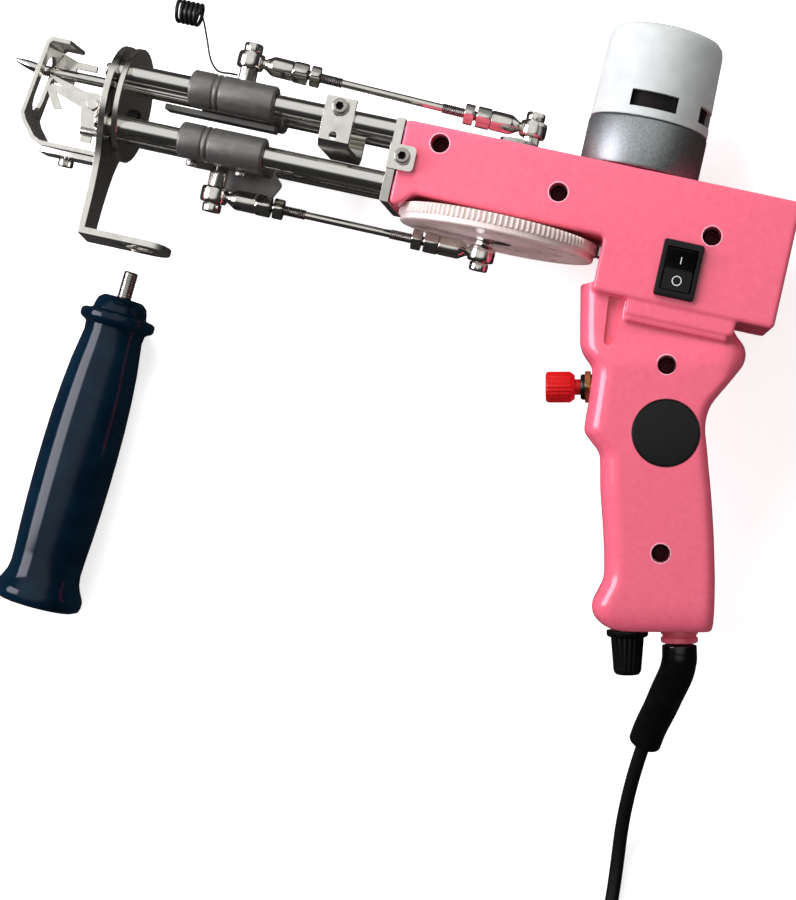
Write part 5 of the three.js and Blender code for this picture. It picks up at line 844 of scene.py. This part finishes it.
# Moulded polythene: grey-white and waxy, with soft lights
cup_white = surface(
    "moulded_white_polythene", "#c3c7c5", "#b2b7b5", 0, 0.45, 0.006, 0.00003, shine=0.3
)
cup = bare("cup", [turned(cup_profile, motor_at, (0, 1, 0), 128, True)])
finished(
    "motor_cup", carved(cup, windows), cup_white, "machine", "white_plastic", ("motor_cap",),
    smooth=30,
)

# Drive gear: moulded pale nylon, 117 teeth on the upper part of its rim, and a plain band and
# a slightly dished face below, whose nylon is painted lighter to stand in for the light it lacks.
GEAR_TEETH, TOOTH_MODULE, TOOTH_HALF = 117, 0.65, 0.525
PITCH_RADIUS = GEAR_TEETH * TOOTH_MODULE / 2
GEAR_SIDES = GEAR_TEETH * 10
FACE_LEVEL = -21.4
# The tooth wave is a cosine pushed up and clipped, so its tips and roots are flat
tooth_wave = np.clip(1.5 * np.cos(GEAR_TEETH * around(GEAR_SIDES)) - 0.35, -1, 1)


def toothed(inset, depth):
    """Radius round the gear: the pitch radius less an inset, with teeth of a half depth."""
    return PITCH_RADIUS - inset + depth * tooth_wave


gear_rings = [
    (-15.6, 6.2), (-15.6, 33.5), (-15.6, toothed(0.25, 0.3)), (-15.85, toothed(0, TOOTH_HALF)),
    (-19.3, toothed(0, TOOTH_HALF)), (-19.5, toothed(0.1, 0.12)), (-19.7, toothed(0.45, 0)),
    (-21.5, toothed(0.45, 0)), (-21.9, toothed(0.8, 0)), (-22.0, toothed(1.6, 0)),
    (-22.0, 31.0), (-21.6, 30.2), (-21.6, 13.0), (-22.0, 12.2), (-22.0, 6.2),
]
# Moulded nylon: a warm pale pink-white, half dull
gear_nylon = surface("moulded_pale_nylon", "#ecdcd7", "#d9c4be", 0, 0.42, 0.003, 0.00002)
wheel = piece(
    "gear_wheel",
    [turned(gear_rings, (0, 0, 0), (0, 1, 0), GEAR_SIDES, True)],
    gear_nylon, "gear", "pale_plastic", ("drive_gear",), smooth=30,
)
# The same nylon on the faces below, painted lighter to stand in for light: blotched with darker
# spots of 4 mm, and wetter
underside_light_paint = surface("nylon_painted_lighter_below", "#fdeae4", "#cdb3ab", 0, 0.3, 0.004, 0.00004)
wheel.data.materials.append(underside_light_paint)
# Faces under the face level get the lighter copy, which is painted light
face_middles = np.empty(len(wheel.data.polygons) * 3)
wheel.data.polygons.foreach_get("center", face_middles)
below = face_middles.reshape(-1, 3)[:, 1] * 1000 - MACHINE[1] < FACE_LEVEL
wheel.data.polygons.foreach_set("material_index", below.astype(np.int32))

# Gear shaft, bearings and pinion: turned and hardened steel, mostly inside the housing. The
# crank arm stands on the shaft's upper end.
# Hardened steel: grey, lightly brushed, with a plain shine
tool_steel = surface("hardened_steel", "#c4c2bc", "#a3a19b", 1, 0.25, 0.0015, 0.00001)
for name, node in (
    ("crank_arm_and_shaft", "crank_shaft"), ("ball_bearing_upper", "bearing_upper"),
    ("ball_bearing_lower", "bearing_lower"), ("pinion", "motor_pinion"),
):
    dressed(name, node, tool_steel, "ground_steel", 0.12)

# Slider blocks: die-cast zinc. Each has two barrels bored for the guide rods, with a pair of
# turned grooves near the front, and a web between them. The lower one has a flat wing, and two
# screws hold the cutter's bracket under it.
SLIDER_X, SLIDER_LENGTH, WEB_HALF = -124.4, 33.0, 7.4
BARREL_RADIUS, BARREL_BORE, BARREL_GROOVE = 6.8, 4.15, 6.35


def slider_barrel(y, z):
    """One bored barrel: outside with broken ends and two grooves, and its bore of 8.3 mm."""
    outside, groove = BARREL_RADIUS, BARREL_GROOVE
    profile = [(0, BARREL_BORE), (0, outside - 0.7), (0.7, outside)]
    for low, high in ((8.9, 10.0), (11.1, 12.2)):
        profile += [(low, outside), (low + 0.2, groove), (high - 0.2, groove), (high, outside)]
    profile += [(SLIDER_LENGTH - 0.7, outside), (SLIDER_LENGTH, outside - 0.7)]
    profile += [(SLIDER_LENGTH, BARREL_BORE)]
    return turned(profile, (SLIDER_X, y, z), (1, 0, 0), 64, True)


def slider(y, low, high):
    """The parts of a slider: two barrels on its pair of rods, and a web from low to high."""
    front, rear = SLIDER_X + 3, SLIDER_X + 30
    web = rounded([(front, low), (rear, low), (rear, high), (front, high)], 1.0)
    barrels = [slider_barrel(y, ROD_Z), slider_barrel(y, -ROD_Z)]
    return [*barrels, plate(web, -WEB_HALF, WEB_HALF)]


# Die-cast zinc, tumbled: grey satin metal whose lights are wide and soft
satin_zinc = surface(
    "satin_grey_die_cast", "#7f7d78", "#6b6a66", 0.7, 0.42, 0.0015, 0.000003, stretch=(2, 1, 1)
)
piece(
    "slider_upper", slider(ROD_Y, 3.6, 15.6),
    satin_zinc, "needle_carriage", "grey_metal", ("needle_slider",), 0.25,
)
wing = [
    (-116, -10), (-116, -16.8), (-109.2, -23.5), (-90.4, -23.5), (-87, -16.8), (-93.8, -10),
]
piece(
    "slider_lower", [*slider(-ROD_Y, -15.6, -3.6), plate(rounded(wing, 1.4), -10.9, -8.5)],
    satin_zinc, "cutter_carriage", "grey_metal", ("cutter_slider",), 0.25,
)
slider_screws = [
    cap_screw((x, -16.4, 5.5), (0, -1, 0), 2.2, 2.1, 1.3, 1.2, 1.1) for x in (-120.2, -100.8)
]
piece("slider_screws", slider_screws, plated_screw, "cutter_carriage", "grey_metal")
dressed("needle_clamp_bar", "needle_bar", satin_zinc, "grey_metal", 0.25)
dressed("push_rod", "cutter_push_rod", tool_steel, "ground_steel", 0.2)

# Needle: a hollow ground steel tube of 4 mm with a long slanting point and its open yarn
# channel, clamped in the upper slider.
NEEDLE_TIP, POINT_LENGTH, NEEDLE_REAR = -199.9, 12.1, -109.4
NEEDLE_Y, POINT_DROP, NEEDLE_RADIUS = 6.5, 2.2, 2.0
point_share = np.linspace(0, 1, 24)[:, None]
needle_angle = around(32)
point_radius = NEEDLE_RADIUS * (1 - (1 - point_share) ** 2.2)
needle_rings = np.stack(
    [
        NEEDLE_TIP + POINT_LENGTH * point_share + 0 * needle_angle,
        NEEDLE_Y + POINT_DROP * (1 - point_share) + point_radius * np.cos(needle_angle),
        np.maximum(point_radius, 0.25) * np.sin(needle_angle),
    ],
    -1,
)
needle_end = needle_rings[-1:] * [0, 1, 1] + [NEEDLE_REAR, 0, 0]
# Polished steel: the brightest metal on the machine
needle_steel = surface("polished_needle_steel", "#e0ded9", "#c9c6c0", 1, 0.12, 0.002, 0.000004)
piece(
    "needle_tube",
    [skin(np.concatenate([needle_rings, needle_end]))],
    needle_steel, "needle_carriage", "ground_steel", ("needle",),
)

# Yarn guide: one black spring wire, wound in a short coil that stands above the needle slider
# on its own leg.
GUIDE_X, GUIDE_LENGTH = -139.6, 9.4
GUIDE_Y, GUIDE_RADIUS, GUIDE_TURNS = 39.6, 3.9, 5.25
COIL_WIRE, LEG_WIRE = 0.78, 0.4
guide_turn = np.linspace(0, GUIDE_TURNS, 200)
guide_coil = np.stack(
    [
        GUIDE_X + GUIDE_LENGTH * guide_turn / GUIDE_TURNS,
        GUIDE_Y + GUIDE_RADIUS * np.cos(guide_turn * 2 * math.pi),
        GUIDE_RADIUS * np.sin(guide_turn * 2 * math.pi),
    ],
    1,
)
leg = smooth_line(
    [
        guide_coil[-1], (-128.6, 37.9, 2.4), (-126.1, 31.1, 0), (-123.07, 23.9, 0),
        (-119.25, 20.1, 0), (-113.95, 20.1, 0), (-111.4, 20.1, 0),
    ],
    80,
)
# Oil-blackened spring wire: near black with a thin bright line along it
spring_wire = surface("black_spring_wire", "#1d1d1e", "#111112", 0.2, 0.3, 0.001, 0.000005)
piece(
    "yarn_loop",
    [tube(guide_coil, COIL_WIRE, 12, (1, 0, 0)), tube(leg, LEG_WIRE, 12)],
    spring_wire, "needle_carriage", "black_plastic", ("yarn_guide",), smooth=60,
)

# Connecting rods: each has a thin steel bar threaded at both ends, two nickelled rod ends with
# their eyes and flats, a lock nut against each, and pins with socket heads that hold the eyes.
RODS = {
    "needle": ((-107.4, 26.4, 0), (3.708, 24.5, -11.413), 15.9, 17.7, 1),
    "cutter": ((-110.2, -26.9, 0), (-5.002, -26.9, -6.243), -15.9, -22.3, -1),
}
EYE_HALF, EYE_RADIUS, BALL_HALF, BALL_RADIUS, PIN_RADIUS = 2.9, 5.25, 3.3, 3.4, 2.2
NUT_FROM, NUT_LENGTH = 23.6, 3.7


def along_rod(front, rear):
    """The rod's own frame: its length, its direction from front to rear eye, and the eyes'
    axis, which is the Y axis less its share along the rod."""
    first = np.subtract(rear, front)
    length = np.linalg.norm(first)
    first = first / length
    second = np.array([0, 1.0, 0]) - first * first[1]
    second /= np.linalg.norm(second)
    return length, first, second


def hex_rings(low, high, corner, chamfer, narrow, wide):
    """Rings of a nut from low to high: a hexagon of a radius over corners, whose corners are
    turned off to a narrow radius at both ends and to a wide one a chamfer's height inwards."""
    end, side = np.minimum(hexagon(corner), narrow), np.minimum(hexagon(corner), wide)
    return [(low, end), (low + chamfer, side), (high - chamfer, side), (high, end)]


def rod_end(eye, first, second):
    """Eye ring, ball, neck, round barrel and hexagon, along the first direction from the eye."""
    bulge = np.linspace(-1, 1, 9)
    ring = [(EYE_HALF * b, EYE_RADIUS * math.sqrt(1 - 0.14 * b**6)) for b in bulge]
    ring += [(EYE_HALF, 3.4), (1.4, 3.6), (-1.4, 3.6), (-EYE_HALF, 3.4)]
    ball = [(BALL_HALF * b, BALL_RADIUS * math.sqrt(1 - 0.4 * b**2)) for b in bulge]
    ball += [(BALL_HALF, 2.35), (-BALL_HALF, 2.35)]
    shank = [
        (3.4, 2.0), (5.6, 1.9), (6.8, 2.6), (8.6, 3.7), (9.2, 3.85), (16.2, 3.85), (16.8, 3.6),
        (17.0, 3.3),
    ]
    return [
        turned(ring, eye, second, 48, True),
        turned(ball, eye, second, 40, True),
        turned(shank, eye, first, 40),
        turned(hex_rings(17.0, 22.4, 4.5, 0.4, 4.0, 4.3), eye, first, SCREW_SIDES),
    ]


def threaded(start, first, begin, end, radius=2.0, pitch=0.8):
    """A rolled thread drawn as rings: the radius rises and falls once each pitch."""
    run = np.linspace(begin, end, int((end - begin) / pitch * 6))
    wave = radius - 0.16 * (1 + np.cos(run / pitch * 2 * math.pi))
    return turned(np.column_stack([run, wave]), start, first, 24)


def pin_parts(eye, seat, side):
    """A pivot pin up or down from its seat: six-sided base, shank through the eye, and a
    socket head."""
    x, y, z = eye
    near = y - side * 3.2
    base = hex_rings(0, abs(near - seat), 3.7, 0.3, 3.4, 3.6)
    head = (x, y + side * 3.45, z)
    return [
        turned(base, (x, seat, z), (0, side, 0), SCREW_SIDES),
        turned([(0, PIN_RADIUS), (7.2, PIN_RADIUS)], (x, near - side * 0.4, z), (0, side, 0), 32),
        cap_screw(head, (0, side, 0), 3.7, 3.2, PIN_RADIUS, 0.5, 1.7),
    ]


# Bright nickel on turned steel: a sharp, warm mirror
plated = surface("bright_nickel_rod_end", "#e3e0d9", "#c8c4bb", 1, 0.12, 0.003, 0.00001)
# Rolled thread: greyer than the bar, dark between its crests
thread_steel = surface("rolled_thread_steel", "#9a9893", "#6d6b67", 1, 0.3, 0.001, 0.00001)
for key, (front, rear, front_seat, rear_seat, side) in RODS.items():
    length, first, second = along_rod(front, rear)
    rod, carriage = key + "_rod", key + "_carriage"
    bar = [turned([(34, 1.5), (length - 34, 1.5)], front, first, 32)]
    for low in (NUT_FROM, length - NUT_FROM - NUT_LENGTH):
        nut = hex_rings(low, low + NUT_LENGTH, 4.4, 0.4, 3.9, 4.25)
        bar.append(turned(nut, front, first, SCREW_SIDES))
    threads = [threaded(front, first, 20, 36), threaded(front, first, length - 36, length - 20)]
    for name, parts, metal, body, nodes, smooth in (
        ("eye_front", rod_end(front, first, second), plated, rod, ["_rod_front_end"], 40),
        ("eye_rear", rod_end(rear, -first, second), plated, rod, ["_rod_rear_end"], 40),
        ("bar", bar, plated, rod, ["_link_rod"], 40),
        ("bar_threads", threads, thread_steel, rod, [], 60),
        ("pin_front", pin_parts(front, front_seat, side), plated, carriage, ["_front_pin"], 40),
        ("pin_rear", pin_parts(rear, rear_seat, side), plated, rod, ["_rear_pin"], 40),
    ):
        stands_for = [key + node for node in nodes]
        piece(f"{key}_{name}", parts, metal, body, "bright_steel", stands_for, smooth=smooth)

# Rocker switch: a snap-in nylon bezel with a rounded rim, and a glossy rocker with two hollow
# halves on a pivot. The marks for on and off are printed in white.
SWITCH_X, SWITCH_Y, PIVOT_LEVEL = 69.9, -20.2, 22.7
ROCKER_TILT, ROCKER_HALF, ROCKER_WIDE = math.radians(7), 7.6, 5.3
MARK_THICK = 0.05
bezel_outer = rounded([(62.4, -30.7), (77.4, -30.7), (77.4, -9.7), (62.4, -9.7)], 1.2)
bezel_inner = rounded([(64.35, -28.0), (75.45, -28.0), (75.45, -12.4), (64.35, -12.4)], 0.5)
bezel_rings = []
for outline, z, inset in (
    (bezel_outer, 22.3, 0), (bezel_outer, 23.6, 0), (bezel_outer, 24.1, 0.25),
    (bezel_outer, 24.3, 0.8), (bezel_inner, 24.3, -0.35), (bezel_inner, 23.9, 0),
    (bezel_inner, 12.5, 0), (bezel_inner, 12.5, -0.9), (bezel_inner, 22.3, -0.9),
):
    middle = np.array([SWITCH_X, SWITCH_Y])
    shrunk = middle + (outline - middle) * (1 - inset / np.array([7.5, 10.5]))
    bezel_rings.append(np.column_stack([shrunk, np.full(len(outline), z)]))
# Nylon from a fine-grained mould: black, half dull
black_nylon = surface(
    "moulded_black_nylon", "#0d0d0e", "#070708", 0, 0.34, 0.0012, 0.00001, shine=0.25
)
piece(
    "switch_bezel",
    [skin(np.stack(bezel_rings), True)],
    black_nylon, "machine", "black_plastic", ("switch_housing",), smooth=40,
)
rocker_turn = np.array(Matrix.Rotation(ROCKER_TILT, 3, "X")).T


def rocker_height(y):
    """Height of the rocker's top over its pivot: higher towards its two ends."""
    return 1.6 + 1.8 * np.abs(y / ROCKER_HALF) ** 1.25


def on_rocker(points):
    """Points of the level rocker, in its tilted place on the pivot."""
    return points @ rocker_turn + np.array([SWITCH_X, SWITCH_Y, PIVOT_LEVEL])


def mark_ring(flat, lift):
    """Points drawn on the rocker's top, raised by lift."""
    return on_rocker(np.column_stack([flat, rocker_height(flat[:, 1]) + lift]))


rocker_share = np.linspace(-1, 1, 41)
rocker_y = rocker_share * ROCKER_HALF
rocker_low = -4.4 * np.sqrt(np.clip(1 - rocker_share**2, 0, 1))
rocker_outline = np.vstack(
    [
        np.column_stack([rocker_y, rocker_height(rocker_y)]),
        np.column_stack([rocker_y, rocker_low])[-2:0:-1],
    ]
)
rocker_points, rocker_faces = plate(rocker_outline, -ROCKER_WIDE, ROCKER_WIDE, "x")
# Nylon from a polished mould: black with one clear highlight
gloss_nylon = surface(
    "polished_black_nylon", "#0a0a0b", "#060607", 0, 0.2, 0.004, 0.000003, shine=0.2
)
piece(
    "rocker",
    [(on_rocker(rocker_points), rocker_faces)],
    gloss_nylon, "rocker", "black_gloss", ("switch_rocker",), 0.25, 30,
)
mark_circle = np.column_stack([np.cos(around(40)), np.sin(around(40))])
mark_o = [
    mark_ring(np.array([0, -3.9]) + mark_circle * radius, lift * MARK_THICK)
    for radius, lift in ((1.8, -1), (1.8, 1), (1.48, 1), (1.48, -1))
]
bar_flat = np.array([(-0.17, 2.2), (0.17, 2.2), (0.17, 4.9), (-0.17, 4.9)])
mark_i = [mark_ring(bar_flat, lift) for lift in (-MARK_THICK, MARK_THICK)]
# Printing ink: flat white
white_print = surface("white_pad_print", "#e8e8e6", "#dcdcda", 0, 0.5, 0.001, 0.000005)
piece(
    "rocker_marks",
    [skin(np.stack(mark_o), True), skin(np.stack(mark_i))],
    white_print, "rocker", "white_plastic",
)

# Badge: a plain black plastic disc with a softly rounded edge, glued into a seat in the grip.
# It is left bare.
BADGE_PROFILE = [(17.7, 12.4), (18.6, 12.4), (18.85, 12.2), (18.95, 11.8)]
# Moulded styrene: near black, half glossy, with slow blotches
badge_plastic = surface(
    "moulded_black_styrene", "#101210", "#0a0c0a", 0, 0.34, 0.004, 0.000004, shine=0.2
)
piece(
    "badge",
    [turned(BADGE_PROFILE, (BADGE_X, BADGE_Y, 0), (0, 0, 1), 96)],
    badge_plastic, "machine", "black_gloss", ("badge_disc",),
)

# Push button: a ribbed red ABS cap on a stem, in a threaded black bush that a brass nut holds
# in the grip's front.
BUTTON = grip_point(*BUTTON_PLACE)
BUTTON_OUT = -GRIP_ACROSS
RIBBED_SIDES = 144
cap_ribs = 0.16 * np.cos(around(RIBBED_SIDES) * 24)
cap_rings = [
    (-2.2, 3.0), (7.8, 3.0), (7.8, 4.6), (9.2, 5.6), (9.6, 5.75 + cap_ribs),
    (17.6, 5.75 + cap_ribs), (18.4, 5.6 + cap_ribs * 0.4), (18.8, 5.1),
]
# Moulded ABS: strong red, between gloss and dull
red_abs = surface("moulded_red_abs", "#cf0a10", "#b80508", 0, 0.3, 0.002, 0.00001, shine=0.35)
piece(
    "button_top",
    [turned(cap_rings, BUTTON, BUTTON_OUT, RIBBED_SIDES)],
    red_abs, "button", "red_plastic", ("button_cap",), smooth=45,
)
bush_thread = [(4.7 - 0.35 * k, 5.0 - 0.22 * (k % 2)) for k in range(20, -1, -1)]
bush_profile = [(-14.7, 4.9), *bush_thread, (5.6, 4.4), (5.6, 3.15), (-14.7, 3.15)]
piece(
    "button_collar",
    [turned(bush_profile, BUTTON, BUTTON_OUT, 48, True)],
    black_nylon, "machine", "black_plastic", ("button_bush",),
)
# Turned brass, handled: yellow-brown with a muted shine
dull_brass = surface("dull_brass", "#b08f5c", "#84673c", 1, 0.3, 0.002, 0.00001)
nut_rings = [(1.7, 5.15), *hex_rings(1.7, 3.9, 6.8, 0.3, 6.2, 6.6), (3.9, 5.15)]
piece(
    "button_ring_nut",
    [turned(nut_rings, BUTTON, BUTTON_OUT, SCREW_SIDES, True)],
    dull_brass, "machine", "brass", ("button_nut",),
)

# Speed knob: black moulded nylon, ribbed for the fingers, pushed onto the control's shaft. It
# stands out of the grip's end beside the cord.
knob_ribs = np.clip(1.4 * np.cos(around(RIBBED_SIDES) * 18), -1, 1)
knob_rings = [
    (0.6, 3.15), (0.6, 7.7), (0.8, 7.9), (2.4, 7.9), (2.9, 7.5), (3.4, 6.2),
    (3.8, 6.05 + 0.2 * knob_ribs), (15.6, 5.1 + 0.2 * knob_ribs),
    (16.6, 4.85 + 0.1 * knob_ribs), (17.3, 4.3), (17.5, 3.6), (17.5, 0.4), (9.3, 0.4),
    (9.3, 3.15),
]
piece(
    "knob",
    [turned(knob_rings, grip_point(GRIP_END, KNOB_ACROSS), GRIP_DOWN, RIBBED_SIDES, True)],
    black_nylon, "knob", "black_plastic", ("speed_knob",), smooth=40,
)
dressed("speed_dial_control", "speed_control", tool_steel, "ground_steel", 0.2)

# Cord collar: a bush with two grooves, moulded of the shells' own pink ABS and pressed into
# the grip's end.
collar_profile = [
    (114, 7), (122.9, 7), (123.1, 6.5), (124.0, 6.4), (124.2, 7), (125.4, 7), (125.6, 6.5),
    (126.6, 6.4), (126.8, 7), (128.3, 7), (128.8, 6.5), (128.8, 6.2),
]
piece(
    "collar",
    [turned(collar_profile, grip_point(0, COLLAR_ACROSS), GRIP_DOWN, 64)],
    pink_abs, "machine", "pink_plastic", ("cord_collar",), smooth=32,
)

# Side handle: a hollow glossy moulding in very dark blue ABS, with a flange, a stepped neck
# and a flared foot. A plated stud of 6 mm screws it to the nose's tab; here it lies beside it.
HANDLE_LENGTH, HANDLE_RADIUS = 119.0, 17.5
# Its profile from the shoulder to the foot, as shares of its length and of its radius
HANDLE_SHARES = [
    (-0.07, 0.36), (-0.0695, 0.43), (-0.066, 0.475), (-0.055, 0.56), (-0.036, 0.6),
    (-0.019, 0.62), (-0.0155, 0.66), (-0.013, 0.78), (-0.008, 0.84), (0.002, 0.857),
    (0.014, 0.853), (0.022, 0.82), (0.028, 0.74), (0.034, 0.69), (0.06, 0.67), (0.11, 0.715),
    (0.17, 0.77), (0.26, 0.82), (0.36, 0.855), (0.46, 0.868), (0.55, 0.868), (0.65, 0.858),
    (0.75, 0.835), (0.82, 0.81), (0.87, 0.8), (0.9, 0.83), (0.925, 0.9), (0.945, 0.975),
    (0.955, 1.0), (0.975, 1.0), (0.988, 0.97), (0.996, 0.86), (1.0, 0.6),
]
HANDLE_TURN = math.radians(-3.5)
SHOULDER, STUD_RADIUS, STUD_PITCH = 0.07 * HANDLE_LENGTH, 3.0, 1.0
flange_radius = 0.857 * HANDLE_RADIUS
# It rests on its flange and its foot, so it leans by the difference of their radii
lean = math.atan((HANDLE_RADIUS - flange_radius) / (0.955 * HANDLE_LENGTH))
handle_turn = Matrix.Rotation(HANDLE_TURN, 3, "Z") @ Matrix.Rotation(-lean, 3, "X")
handle_at = np.array([-143.3, -81, TABLE + flange_radius * math.cos(lean)])


def on_handle(part):
    """A part drawn along Y in the handle's own frame, laid beside the machine."""
    points, faces = part
    return points @ np.array(handle_turn).T + handle_at, faces


# ABS from a polished mould: almost black, blue in the light, with long clear highlights
navy = surface("polished_navy_abs", "#06202f", "#030f1e", 0, 0.11, 0.012, 0.00001, shine=0.2)
handle_profile = np.asarray(HANDLE_SHARES) * [HANDLE_LENGTH, HANDLE_RADIUS]
piece(
    "handle_body",
    [on_handle(turned(handle_profile, (0, 0, 0), (0, -1, 0), 120))],
    navy, "side_handle", "handle_plastic", ("handle_grip",), smooth=34,
)
stud_run = np.arange(-2, 10.6, 0.12)
stud_wave = STUD_RADIUS - 0.18 * (1 + np.cos(stud_run / STUD_PITCH * 2 * math.pi))
stud_profile = [*np.column_stack([stud_run, stud_wave]), (11.0, 2.3)]
piece(
    "handle_bolt",
    [on_handle(turned(stud_profile, (0, SHOULDER, 0), (0, 1, 0), 40))],
    plated, "side_handle", "bright_steel", ("handle_stud",), smooth=60,
)
